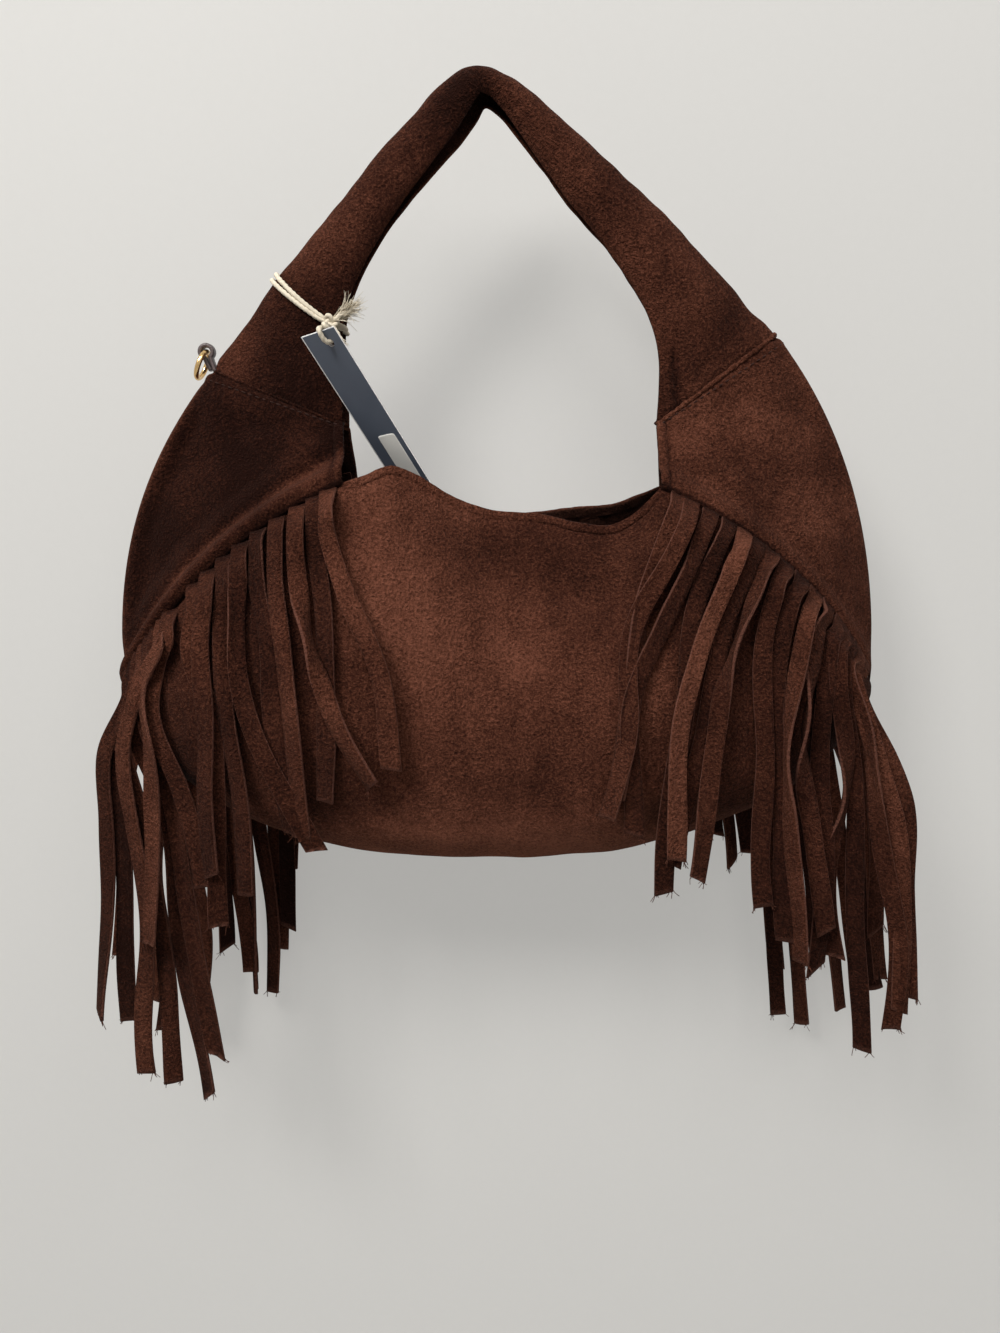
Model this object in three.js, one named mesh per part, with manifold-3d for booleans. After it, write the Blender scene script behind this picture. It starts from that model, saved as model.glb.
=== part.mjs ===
// A slouchy hobo bag of brown suede, hanging by its handle: a boat-shaped body, two side
// yokes, a folded handle, four long fringes, a ring on a leather tab and a tied-on hang tag.
// Millimetres. +Z is up, -Y is the front, +X is to the viewer's right. The origin is where
// a hook bears on the underside of the handle.
import * as THREE from "three";
import Module from "manifold-3d";

const wasm = await Module();
wasm.setup();

// Driving dimensions of the suede panels.
const suede = 1.6;
const seamGap = 0.8;
const seamHalfDepth = 24;
const seamBow = 13;
const strapSeamHalfDepth = 10;
const bodyHalfDepth = 50;
const keelDrop = 82;
const tipInset = 1;

// Corner points of each side, x and z: the mouth's corner, the body's tip, and the inner
// and outer end of the seam where the handle joins the yoke.
const left = {
  corner: [-67, -167],
  tip: [-181, -268],
  strapIn: [-68, -141],
  strapOut: [-128, -115],
};
const right = {
  corner: [77, -171],
  tip: [184, -268],
  strapIn: [77, -143],
  strapOut: [132, -103],
};

// How far the yoke's outer fold swells below the strap seam and above the tip.
const foldLead = 46;
const foldRise = 76;

// The mouth's front and back edges between the corners: x, y, z.
const frontMouth = [
  [-57, -20, -164], [-46, -17, -160], [-35, -14, -164], [-19, -11, -174], [0, -9, -181],
  [22, -10, -183], [42, -16, -187.5], [56, -20, -188], [68, -23, -181],
];
const backMouth = [
  [-55, 21, -172], [-38, 16, -178], [-17, 11, -182], [0, 9, -184],
  [22, 11, -183], [42, 15, -181], [60, 19, -180], [70, 22, -177],
];

// The handle between its two seams: inner edge x, z, outer edge x, z, half thickness, and
// how far the strap wraps round, in parts of a half turn.
const handleStations = [
  [-68, -118, -114, -99, 9.2, 0.64],
  [-67, -95, -97, -77, 8.6, 0.8],
  [-60, -76, -80, -59, 8.5, 0.88],
  [-47, -55, -64, -41, 8, 0.9],
  [-32, -36, -48, -24, 7.5, 0.9],
  [-15, -17, -30, -6, 7.5, 0.9],
  [-6, -5, -15, 7, 8, 0.9],
  [-1, 1, -3, 12, 8.5, 0.9],
  [7, -5, 13, 6, 8, 0.9],
  [18, -19, 32, -9, 7.5, 0.9],
  [33, -39, 48, -23, 7.5, 0.9],
  [50, -59, 68, -40, 8, 0.9],
  [66, -80, 88, -59, 9, 0.86],
  [77, -104, 107, -78, 10, 0.76],
  [78, -124, 120, -91, 10, 0.62],
];

// Driving dimensions of the fringes. Each strand is a root on the seam, a lift in layers off
// the body, and the x, z points that it hangs through.
const strandWidth = 8.6;
const strandThickness = 1.2;
const layerStep = 1.6;
const lieGap = 0.6;
const headerHeight = 5;
const strandSteps = 8;
const frontLeftStrands = [
  [2, [-72, -190], [-62, -214], [-54, -250], [-45, -291]],
  [0, [-78, -200], [-69, -236], [-70, -273], [-74, -306]],
  [2, [-86, -205], [-77, -242], [-66, -270], [-51, -298]],
  [1, [-96, -212], [-92, -240], [-89, -275], [-89, -323]],
  [0, [-105, -217], [-99, -250], [-95, -285], [-96, -322]],
  [1, [-114, -224], [-112, -250], [-108, -278], [-80, -329]],
  [0, [-122, -230], [-119, -260], [-118, -300], [-118, -352]],
  [2, [-130, -236], [-129, -268], [-131, -305], [-129, -342]],
  [0, [-137, -240], [-127, -268], [-129, -308], [-135, -368]],
  [1, [-153, -246], [-151, -268], [-143, -302], [-137, -352]],
  [2, [-159, -254], [-157, -280], [-159, -320], [-163, -380]],
  [0, [-161, -268], [-153, -305], [-147, -360], [-141, -443]],
  [0, [-167, -276], [-159, -314], [-153, -370], [-147, -466]],
  [1, [-174, -284], [-167, -322], [-163, -370], [-162, -460]],
  [1, [-183, -290], [-186, -325], [-190, -370], [-196, -423]],
];
const frontRightStrands = [
  [0, [77, -196], [65, -224], [57, -262], [54, -308]],
  [1, [82, -200], [64, -232], [54, -275], [52, -314]],
  [2, [92, -204], [75, -230], [63, -268], [59, -323]],
  [0, [101, -208], [86, -232], [79, -270], [77, -352]],
  [2, [108, -214], [90, -242], [82, -275], [74, -334]],
  [0, [115, -222], [97, -250], [89, -285], [84, -339]],
  [1, [121, -226], [102, -248], [96, -285], [90, -345]],
  [1, [128, -232], [117, -258], [120, -300], [127, -361]],
  [0, [136, -240], [127, -270], [130, -315], [134, -379]],
  [2, [144, -248], [132, -275], [135, -320], [140, -388]],
  [1, [150, -256], [138, -285], [144, -325], [154, -376]],
  [0, [157, -266], [148, -300], [147, -340], [151, -397]],
  [1, [168, -276], [162, -312], [160, -350], [161, -392]],
  [2, [183, -285], [190, -325], [195, -365], [200, -429]],
  [1, [192, -285], [199, -318], [205, -360], [215, -436]],
];
const backLeftStrands = [
  [0, [-77, -230], [-72, -300]],
  [1, [-86, -230], [-80, -310]],
  [0, [-97, -250], [-114, -368]],
  [1, [-106, -260], [-119, -384]],
  [0, [-114, -270], [-122, -418]],
  [2, [-122, -275], [-127, -432]],
  [1, [-130, -285], [-131, -458]],
  [0, [-138, -290], [-140, -456]],
  [1, [-146, -295], [-145, -442]],
  [0, [-153, -300], [-154, -426]],
  [2, [-163, -305], [-171, -474]],
  [1, [-170, -310], [-179, -438]],
  [0, [-178, -315], [-190, -470]],
  [1, [-184, -320], [-194, -452]],
  [1, [-191, -300], [-211, -424]],
];
const backRightStrands = [
  [0, [87, -230], [82, -300]],
  [1, [96, -235], [90, -312]],
  [0, [107, -250], [129, -366]],
  [1, [116, -260], [136, -384]],
  [0, [124, -270], [142, -376]],
  [2, [131, -275], [148, -372]],
  [1, [139, -285], [159, -446]],
  [0, [146, -290], [161, -474]],
  [1, [154, -295], [173, -480]],
  [0, [161, -300], [181, -434]],
  [2, [169, -305], [196, -470]],
  [1, [177, -310], [205, -458]],
  [0, [186, -315], [210, -452]],
  [1, [193, -310], [214, -446]],
  [1, [195, -300], [210, -416]],
];

// Driving dimensions of the ring, its tab and its rest lean from the vertical.
const ringRadius = 6.3;
const ringWire = 1.2;
const tabWidth = 5;
const tabThickness = 1.6;
const tabHole = 2.1;
const tabReach = 7;
const tabStandOff = 1.6;
const ringLean = THREE.MathUtils.degToRad(23.5);

// Driving dimensions of the hang tag and the string that ties it to the handle.
const stringRadius = 1;
const stringStation = 0.115;
const stringPitch = 2.6;
const knotRadius = 2.6;
const knotGap = 0.3;
const turnGap = 0.5;
const upperTail = [12, -2, 12];
const lowerTail = [5, -3, -9];
const cardWidth = 21.5;
const cardSlide = 1.3;
const cardLength = 88;
const cardThickness = 0.5;
const cardGap = 0.4;
const cardHoleRadius = 1.9;
const cardHoleAcross = 14.5;
const cardHoleDown = 6;
const cardTop = new THREE.Vector3(-81.5, -24, -103.5);
const cardDown = new THREE.Vector3(32, 28, -57).normalize();
const cardAcross = new THREE.Vector3(19, -16, 2.8).normalize();

const { lerp, smoothstep } = THREE.MathUtils;

function flat([x, z], y = 0) {
  return new THREE.Vector3(x, y, z);
}

// A closed solid over a row of rings of points. The rings join up end to end when closed,
// and otherwise each end ring is capped by a strip from its first half to its second half.
function loft(rings, closed = false) {
  const count = rings[0].length;
  const index = [];
  const spans = closed ? rings.length : rings.length - 1;
  for (let r = 0; r < spans; r++) {
    const a = r * count;
    const b = ((r + 1) % rings.length) * count;
    for (let i = 0; i < count; i++) {
      const j = (i + 1) % count;
      index.push(a + i, a + j, b + j, a + i, b + j, b + i);
    }
  }
  if (!closed) {
    const last = (rings.length - 1) * count;
    for (let i = 0; i < count / 2 - 1; i++) {
      const k = count - 1 - i;
      index.push(i + 1, i, k, i + 1, k, k - 1);
      index.push(last + i, last + i + 1, last + k - 1, last + i, last + k - 1, last + k);
    }
  }
  const geometry = new THREE.BufferGeometry();
  const points = rings.flat();
  const numbers = points.flatMap((p) => p.toArray());
  geometry.setAttribute("position", new THREE.Float32BufferAttribute(numbers, 3));
  let volume = 0;
  for (let t = 0; t < index.length; t += 3) {
    const [a, b, c] = [points[index[t]], points[index[t + 1]], points[index[t + 2]]];
    volume += a.dot(b.clone().cross(c));
  }
  geometry.setIndex(volume < 0 ? index.reverse() : index);
  return geometry;
}

// The unit normal of a surface that gives a point for two numbers.
function normalOf(surface, u, v, step = 1e-3) {
  const du = surface(u + step, v).sub(surface(u - step, v));
  const dv = surface(u, v + step).sub(surface(u, v - step));
  return du.cross(dv).normalize();
}

// A sheet of the given thickness about a surface.
function sheet(surface, us, vs, thickness) {
  const rings = us.map((u) => {
    const middle = vs.map((v) => surface(u, v));
    const normals = vs.map((v) => normalOf(surface, u, v));
    const outer = middle.map((p, i) => p.clone().addScaledVector(normals[i], thickness / 2));
    const inner = middle.map((p, i) => p.clone().addScaledVector(normals[i], -thickness / 2));
    return [...outer, ...inner.reverse()];
  });
  return loft(rings);
}

function steps(from, to, count) {
  return Array.from({ length: count + 1 }, (_, i) => lerp(from, to, i / count));
}

function round(path, radius, count, sides, closed) {
  const frames = path.computeFrenetFrames(count, closed);
  const rings = steps(0, 1, count).map((u, i) => {
    const centre = path.getPointAt(u);
    return Array.from({ length: sides }, (_, k) => {
      const a = (2 * Math.PI * k) / sides;
      return centre.clone()
        .addScaledVector(frames.normals[i], radius * Math.cos(a))
        .addScaledVector(frames.binormals[i], radius * Math.sin(a));
    });
  });
  return loft(closed ? rings.slice(0, -1) : rings, closed);
}

function toManifold(geometry) {
  const mesh = new wasm.Mesh({
    numProp: 3,
    vertProperties: new Float32Array(geometry.attributes.position.array),
    triVerts: new Uint32Array(geometry.index.array),
  });
  mesh.merge();
  return new wasm.Manifold(mesh);
}

function union(geometries) {
  const mesh = wasm.Manifold.union(geometries.map(toManifold)).getMesh();
  const geometry = new THREE.BufferGeometry();
  geometry.setAttribute("position", new THREE.Float32BufferAttribute(mesh.vertProperties, 3));
  geometry.setIndex(Array.from(mesh.triVerts));
  return geometry;
}

// A point across a fold from the front inner edge (w = -1) round the outer edge (w = 0) to
// the back inner edge (w = 1): an ellipse whose ends close up as the wrap goes to a half turn.
function foldPoint(inner, outer, halfDepth, wrap, bow, w) {
  const angle = wrap * Math.PI * w;
  const open = Math.cos(wrap * Math.PI);
  const q = (Math.cos(angle) - open) / (1 - open);
  const across = outer.clone().sub(inner);
  const side = new THREE.Vector3(-across.z, 0, across.x).normalize();
  if (side.z < 0) side.negate();
  return inner.clone()
    .addScaledVector(across, q)
    .addScaledVector(side, 4 * bow * q * (1 - q))
    .add(new THREE.Vector3(0, halfDepth * Math.sin(angle), 0));
}

// The yoke from the body's seam (s = 0) to the strap's seam (s = 1).
function yokeSurface(side) {
  const strapOut = flat(side.strapOut);
  const tip = flat(side.tip);
  const out = Math.sign(tip.x);
  const fold = new THREE.CubicBezierCurve3(
    strapOut,
    strapOut.clone().add(new THREE.Vector3(out * 0.65, 0, -0.76).multiplyScalar(foldLead)),
    tip.clone().add(new THREE.Vector3(out * 2, 0, foldRise)),
    tip,
  );
  const corner = flat(side.corner);
  const strapIn = flat(side.strapIn);
  const depth = (s) => lerp(seamHalfDepth, strapSeamHalfDepth, s);
  const at = (s, w) => foldPoint(
    corner.clone().lerp(strapIn, s), fold.getPoint(1 - s), depth(s), 0.5, seamBow * (1 - s) ** 2, w,
  );
  const seamSlip = (s, w) => seamGap / 2 / at(s + 1e-3, w).distanceTo(at(s - 1e-3, w)) * 2e-3;
  return (s, w) => at(lerp(seamSlip(0.002, w), 1 - seamSlip(0.998, w), s), w);
}

// The seam between body and yoke, from the mouth's corner (f = 0) to the tip (f = 1).
function seamPoint(side, face, f) {
  return foldPoint(flat(side.corner), flat(side.tip), seamHalfDepth, 0.5, seamBow, face * (1 - f));
}

// The body's top edge on one face, left tip to right tip, as points in order of x.
function topEdge(face, mouth) {
  const ends = [left, right].map((side) => flat(side.corner, face * seamHalfDepth));
  const lipPoints = mouth.map((p) => new THREE.Vector3(...p));
  const lip = new THREE.CatmullRomCurve3([ends[0], ...lipPoints, ends[1]]);
  return [
    ...steps(1, 0, 60).map((f) => seamPoint(left, face, f)),
    ...steps(0, 1, 90).slice(1, -1).map((u) => lip.getPoint(u)),
    ...steps(0, 1, 60).map((f) => seamPoint(right, face, f)),
  ];
}

const edges = { "-1": topEdge(-1, frontMouth), "1": topEdge(1, backMouth) };

function edgeAt(face, x) {
  const edge = edges[face];
  let i = edge.findIndex((p) => p.x > x);
  i = i < 0 ? edge.length - 1 : Math.max(i, 1);
  const k = (x - edge[i - 1].x) / (edge[i].x - edge[i - 1].x);
  return edge[i - 1].clone().lerp(edge[i], k);
}

// The body's half section at x: a curve from the top edge out over the belly to the keel.
function sectionAt(face, x) {
  const middle = (left.tip[0] + right.tip[0]) / 2;
  const reach = (right.tip[0] - left.tip[0]) / 2;
  const share = Math.min(Math.abs((x - middle) / reach), 1);
  const tipZ = (left.tip[1] + right.tip[1]) / 2;
  const keel = tipZ - keelDrop * (1 - share ** 2.6) ** 0.75;
  const belly = face * bodyHalfDepth * (1 - share ** 3) ** 0.55;
  const top = edgeAt(face, x);
  const height = top.z - keel;
  return new THREE.CubicBezierCurve3(
    new THREE.Vector3(x, top.y, top.z),
    new THREE.Vector3(x, top.y + 0.6 * belly, top.z - 0.35 * height),
    new THREE.Vector3(x, 1.7 * belly, keel),
    new THREE.Vector3(x, 0, keel),
  );
}

function slope(section) {
  return 3 * section.v0.distanceTo(section.v1);
}

// The body from its front edge (v = -1) under the keel (v = 0) to its back edge (v = 1).
function bodySurface(u, v) {
  const x = lerp(left.tip[0] + tipInset, right.tip[0] - tipInset, 0.5 - 0.5 * Math.cos(Math.PI * u));
  const section = sectionAt(v < 0 ? -1 : 1, x);
  const start = seamGap / 2 / slope(section);
  return section.getPoint(lerp(start, 1, 1 - Math.abs(v)));
}

// Half depth of the body at x, z on one face, and nothing below its keel.
function depthAt(face, x, z) {
  const inside = THREE.MathUtils.clamp(x, left.tip[0] + tipInset, right.tip[0] - tipInset);
  if (inside !== x) return 0;
  const section = sectionAt(face, x);
  if (z < section.v3.z) return 0;
  let low = 0;
  let high = 1;
  for (let i = 0; i < 24; i++) {
    const mid = (low + high) / 2;
    if (section.getPoint(mid).z > z) low = mid;
    else high = mid;
  }
  return Math.abs(section.getPoint(low).y);
}

// The handle from the left seam (s = 0) to the right seam (s = 1).
function handleSurface() {
  const rows = [
    [...left.strapIn, ...left.strapOut, strapSeamHalfDepth, 0.5],
    ...handleStations,
    [...right.strapIn, ...right.strapOut, strapSeamHalfDepth, 0.5],
  ];
  const innerPoints = rows.map(([x, z, , , depth]) => new THREE.Vector3(x, depth, z));
  const outerPoints = rows.map(([, , x, z, , wrap]) => new THREE.Vector3(x, wrap, z));
  const inner = new THREE.CatmullRomCurve3(innerPoints);
  const outer = new THREE.CatmullRomCurve3(outerPoints);
  const at = (s, w) => {
    const a = inner.getPoint(THREE.MathUtils.clamp(s, 0, 1));
    const b = outer.getPoint(THREE.MathUtils.clamp(s, 0, 1));
    return foldPoint(flat([a.x, a.z]), flat([b.x, b.z]), a.y, b.y, 0, w);
  };
  const seamSlip = (s, w) => seamGap / 2 / at(s + 1e-3, w).distanceTo(at(s - 1e-3, w)) * 2e-3;
  return (s, w) => at(lerp(seamSlip(0.002, w), 1 - seamSlip(0.998, w), s), w);
}

// A point on the outside of the handle, off by the given clearance from its skin.
const handle = handleSurface();
function offHandle(s, w, clearance) {
  const normal = normalOf(handle, s, w);
  const centre = handle(s, -0.5).add(handle(s, 0.5)).multiplyScalar(0.5);
  const point = handle(s, w);
  if (normal.dot(point.clone().sub(centre)) < 0) normal.negate();
  return point.addScaledVector(normal, suede / 2 + clearance);
}

// One fringe: a header that lies on the body just under the seam, and its strands.
function fringe(side, face, strands) {
  const seam = new THREE.CatmullRomCurve3(steps(0, 1, 60).map((f) => seamPoint(side, face, f)));
  const off = suede / 2 + lieGap + strandThickness / 2;
  const lie = (x, down, lift) => {
    const section = sectionAt(face, x);
    const t = down / slope(section);
    const surface = (a, b) => sectionAt(face, a).getPoint(b);
    const normal = normalOf(surface, x, t);
    if (normal.y * face < 0) normal.negate();
    return surface(x, t).addScaledVector(normal, lift);
  };
  const headerEnds = [0.012, 0.95];
  const header = loft(steps(...headerEnds, 24).map((a) => {
    const { x } = seam.getPointAt(a);
    const low = seamGap + headerHeight;
    const half = strandThickness / 2;
    return [
      lie(x, seamGap, off - half),
      lie(x, seamGap, off + half),
      lie(x, low, off + half),
      lie(x, low, off - half),
    ];
  }));
  const ribbons = strands.map(([lift, ...way], i) => {
    const { x } = seam.getPointAt(lerp(...headerEnds, (i + 0.5) / strands.length));
    const root = lie(x, seamGap + headerHeight / 2, off);
    const hang = way.map((p) => flat(p, root.y));
    const path = new THREE.CatmullRomCurve3([root, ...hang], false, "centripetal");
    const centres = steps(0, 1, strandSteps).map((u) => path.getPointAt(u ** 1.9));
    const rootAcross = lie(x + 0.5, seamGap, off).sub(lie(x - 0.5, seamGap, off)).normalize();
    let depth = Math.abs(root.y) - off * 1.2;
    centres.forEach((p, k) => {
      if (k === 0) return;
      const under = [-0.5, 0, 0.5].map((e) => depthAt(face, p.x + e * strandWidth, p.z));
      depth = Math.max(depth, ...under);
      p.y = face * (depth + off * 1.5 + lift * layerStep * smoothstep(k, 0, 2));
    });
    return loft(centres.map((p, k) => {
      const next = centres[Math.min(k + 1, strandSteps)];
      const along = next.clone().sub(centres[Math.max(k - 1, 0)]).normalize();
      const across = along.clone().cross(new THREE.Vector3(0, 1, 0));
      across.lerpVectors(rootAcross, across, smoothstep(k, 0, 4)).normalize();
      const out = across.clone().cross(along);
      const corner = (a, b) => p.clone()
        .addScaledVector(across, a * strandWidth / 2)
        .addScaledVector(out, b * strandThickness / 2);
      return [corner(-1, -1), corner(-1, 1), corner(1, 1), corner(1, -1)];
    }));
  });
  return union([header, ...ribbons]);
}

// The tab is a leather strip folded into a loop whose two legs run back to the seam's end.
const tabOut = new THREE.Vector3(-0.12, 0, 0.993).normalize();
const tabSide = new THREE.Vector3(-0.8, 0, 0.6);
const tabFoot = flat(left.strapOut).addScaledVector(tabSide, suede / 2 + tabStandOff);
const hinge = tabFoot.clone().addScaledVector(tabOut, tabReach);
function tab() {
  const outer = tabHole + tabThickness;
  const turn = Math.asin(Math.min(1, tabThickness * 1.05 / outer));
  const shape = new THREE.Shape();
  shape.moveTo(-tabThickness * 1.05, -tabReach);
  shape.lineTo(tabThickness * 1.05, -tabReach);
  shape.absarc(0, 0, outer, turn - Math.PI / 2, 1.5 * Math.PI - turn, false);
  const hole = new THREE.Path();
  hole.absarc(0, 0, tabHole, 0, 2 * Math.PI, true);
  shape.holes.push(hole);
  const options = { depth: tabWidth, bevelEnabled: false, curveSegments: 12 };
  const geometry = new THREE.ExtrudeGeometry(shape, options).translate(0, 0, -tabWidth / 2);
  const across = new THREE.Vector3().crossVectors(tabOut, new THREE.Vector3(0, 1, 0)).negate();
  const basis = new THREE.Matrix4().makeBasis(across, tabOut, across.clone().cross(tabOut));
  return geometry.applyMatrix4(basis).translate(hinge.x, 0, hinge.z);
}

function ring() {
  const geometry = new THREE.TorusGeometry(ringRadius, ringWire, 8, 28);
  geometry.rotateY(Math.PI / 2);
  geometry.translate(0, 0, -ringRadius);
  geometry.rotateY(ringLean);
  return geometry.translate(hinge.x, 0, hinge.z);
}

// Places a piece drawn with x across and y down the card, at a height off its back.
const cardOut = cardAcross.clone().cross(cardDown);
if (cardOut.y > 0) cardOut.negate();
function onCard(geometry, lift) {
  const basis = new THREE.Matrix4().makeBasis(cardAcross, cardDown, cardAcross.clone().cross(cardDown));
  const origin = cardTop.clone().addScaledVector(cardOut, lift);
  return geometry.applyMatrix4(basis).translate(origin.x, origin.y, origin.z);
}

// A card, slid a little to the left of the front one if it lies behind it.
function card(lift, slide) {
  const shape = new THREE.Shape();
  shape.moveTo(-slide, 0);
  shape.lineTo(cardWidth - slide, 0);
  shape.lineTo(cardWidth - slide, cardLength);
  shape.lineTo(-slide, cardLength);
  const hole = new THREE.Path();
  hole.absarc(cardHoleAcross, cardHoleDown, cardHoleRadius, 0, 2 * Math.PI, true);
  shape.holes.push(hole);
  const options = { depth: cardThickness, bevelEnabled: false, curveSegments: 10 };
  const geometry = new THREE.ExtrudeGeometry(shape, options).translate(0, 0, -cardThickness / 2);
  return onCard(geometry, lift);
}

// The string goes twice round the handle to a knot in front, and its drop ends in a loop
// through the holes of the cards.
function string() {
  const clearance = stringRadius + turnGap;
  const aside = 0.01;
  const run = handle(stringStation + aside, 0).distanceTo(handle(stringStation - aside, 0));
  const spread = stringPitch / run * aside;
  const turns = [-1, 1].map((k) => {
    const station = stringStation + k * spread;
    const points = steps(-1, 1, 14).map((w) => offHandle(station, w, clearance));
    return round(new THREE.CatmullRomCurve3(points, true), stringRadius, 26, 6, true);
  });
  const knotAt = offHandle(stringStation, -0.86, knotRadius + knotGap);
  const knot = new THREE.SphereGeometry(knotRadius, 10, 7).translate(knotAt.x, knotAt.y, knotAt.z);
  const hole = cardTop.clone()
    .addScaledVector(cardAcross, cardHoleAcross)
    .addScaledVector(cardDown, cardHoleDown - (cardHoleRadius - stringRadius - 0.4))
    .addScaledVector(cardOut, (cardThickness + cardGap) / 2);
  const stack = cardThickness + cardGap / 2 + 0.6;
  const half = stack + stringRadius + 0.4;
  const rise = cardDown.clone().multiplyScalar(-(cardHoleDown + stringRadius + 1));
  const loop = new THREE.CatmullRomCurve3([
    hole.clone().addScaledVector(cardOut, -stack),
    hole.clone().addScaledVector(cardOut, stack),
    hole.clone().addScaledVector(cardOut, half).addScaledVector(rise, 0.4),
    hole.clone().add(rise).addScaledVector(cardOut, half * 0.6),
    hole.clone().addScaledVector(rise, 1.15),
    hole.clone().add(rise).addScaledVector(cardOut, -half * 0.6),
    hole.clone().addScaledVector(cardOut, -half).addScaledVector(rise, 0.4),
  ], true);
  const drop = new THREE.LineCurve3(knotAt, hole.clone().addScaledVector(rise, 1.15));
  const tails = [upperTail, lowerTail].map((way) => {
    const tailEnd = knotAt.clone().add(new THREE.Vector3(...way));
    return round(new THREE.LineCurve3(knotAt, tailEnd), stringRadius, 3, 6, false);
  });
  return union([
    ...turns, knot,
    round(loop, stringRadius, 20, 6, true),
    round(drop, stringRadius, 3, 6, false),
    ...tails,
  ]);
}

function mesh(name, geometry, color, roughness, metalness = 0) {
  const piece = new THREE.Mesh(geometry, new THREE.MeshStandardMaterial({ color, roughness, metalness }));
  piece.name = name;
  return piece;
}

const suedeBrown = 0x3b2219;
const foldSteps = steps(-1, 1, 14);
const group = new THREE.Group();
group.name = "fringed_suede_bag";
group.add(
  mesh("body", sheet(bodySurface, steps(0, 1, 28), steps(-1, 1, 20), suede), suedeBrown, 0.95),
  mesh("left_yoke", sheet(yokeSurface(left), steps(0, 1, 9), foldSteps, suede), suedeBrown, 0.95),
  mesh("right_yoke", sheet(yokeSurface(right), steps(0, 1, 9), foldSteps, suede), suedeBrown, 0.95),
  mesh("handle", sheet(handle, steps(0, 1, 36), foldSteps, suede), suedeBrown, 0.95),
  mesh("front_left_fringe", fringe(left, -1, frontLeftStrands), suedeBrown, 0.95),
  mesh("front_right_fringe", fringe(right, -1, frontRightStrands), suedeBrown, 0.95),
  mesh("back_left_fringe", fringe(left, 1, backLeftStrands), suedeBrown, 0.95),
  mesh("back_right_fringe", fringe(right, 1, backRightStrands), suedeBrown, 0.95),
  mesh("ring_tab", tab(), 0x35201f, 0.4),
  mesh("ring", ring(), 0xc79a5b, 0.3, 1),
  mesh("tag_string", string(), 0xddd5c4, 0.9),
  mesh("tag_front_card", card(cardThickness + cardGap, 0), 0x2b3140, 0.6),
  mesh("tag_back_card", card(0, cardSlide), 0x2b3140, 0.6),
);

export default group;
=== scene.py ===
"""A slouchy brown suede bag with fringes, dressed over its fixed frame. Lengths are worked out in
millimetres and put into the meshes in metres. +X is right, -Y is the front, +Z is up."""
import math

import bpy
import numpy as np
from mathutils import Matrix, Vector


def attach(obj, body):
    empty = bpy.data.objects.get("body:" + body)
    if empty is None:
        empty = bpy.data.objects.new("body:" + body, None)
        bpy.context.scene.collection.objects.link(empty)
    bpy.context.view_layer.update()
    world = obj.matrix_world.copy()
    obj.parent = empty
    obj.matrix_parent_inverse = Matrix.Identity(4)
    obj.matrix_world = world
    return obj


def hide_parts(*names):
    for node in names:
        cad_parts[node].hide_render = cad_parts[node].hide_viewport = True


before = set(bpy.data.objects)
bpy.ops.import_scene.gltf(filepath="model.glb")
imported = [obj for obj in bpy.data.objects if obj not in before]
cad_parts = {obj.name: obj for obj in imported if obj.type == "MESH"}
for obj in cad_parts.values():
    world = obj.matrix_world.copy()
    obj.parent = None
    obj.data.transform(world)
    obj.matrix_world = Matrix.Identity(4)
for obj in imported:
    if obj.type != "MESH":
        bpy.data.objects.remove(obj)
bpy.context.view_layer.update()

MM = 0.001
FRONT, BACK = -1, 1

# ---- sizes of the bag
SUEDE = 1.6  # thickness of the suede
HEM_FOLD = 1.0  # what a doubled hem adds to it
SEAM_HALF, SEAM_BOW = 24.0, 13.0  # half depth and bow of the seam of body and yoke
STRAP_HALF = 10.0  # half depth of the seam of yoke and strap
BELLY_HALF, KEEL_DROP = 50.0, 82.0  # the body's half depth, and its drop below the tips
FOLD_LEAD, FOLD_RISE = 46.0, 76.0  # how far the ends of the yoke's outer edge run straight
LEFT = dict(corner=(-67, -167), tip=(-181, -268), strap_in=(-68, -141), strap_out=(-128, -115))
RIGHT = dict(corner=(77, -171), tip=(184, -268), strap_in=(77, -143), strap_out=(132, -103))
MOUTH = {
    FRONT: [(-57, -20, -164), (-46, -17, -160), (-35, -14, -164), (-19, -11, -174), (0, -9, -181),
            (22, -10, -183), (42, -16, -187.5), (56, -20, -188), (68, -23, -181)],
    BACK: [(-55, 21, -172), (-38, 16, -178), (-17, 11, -182), (0, 9, -184),
           (22, 11, -183), (42, 15, -181), (60, 19, -180), (70, 22, -177)],
}
# Inner edge x, z, outer edge x, z, half thickness and wrap of the handle.
STRAP_ROWS = [
    (-68, -141, -128, -115, 10, 0.5),
    (-68, -118, -114, -99, 9.2, 0.64), (-67, -95, -97, -77, 8.6, 0.8), (-60, -76, -80, -59, 8.5, 0.88),
    (-47, -55, -64, -41, 8, 0.9), (-32, -36, -48, -24, 7.5, 0.9), (-15, -17, -30, -6, 7.5, 0.9),
    (-6, -5, -15, 7, 8, 0.9), (-1, 1, -3, 12, 8.5, 0.9), (7, -5, 13, 6, 8, 0.9),
    (18, -19, 32, -9, 7.5, 0.9), (33, -39, 48, -23, 7.5, 0.9), (50, -59, 68, -40, 8, 0.9),
    (66, -80, 88, -59, 9, 0.86), (77, -104, 107, -78, 10, 0.76), (78, -124, 120, -91, 10, 0.62),
    (77, -143, 132, -103, 10, 0.5),
]
STRAND_WIDTH, STRAND_THICK = 8.0, 1.7
LAYER = 2.0  # how far one strand stands off the next
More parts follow.
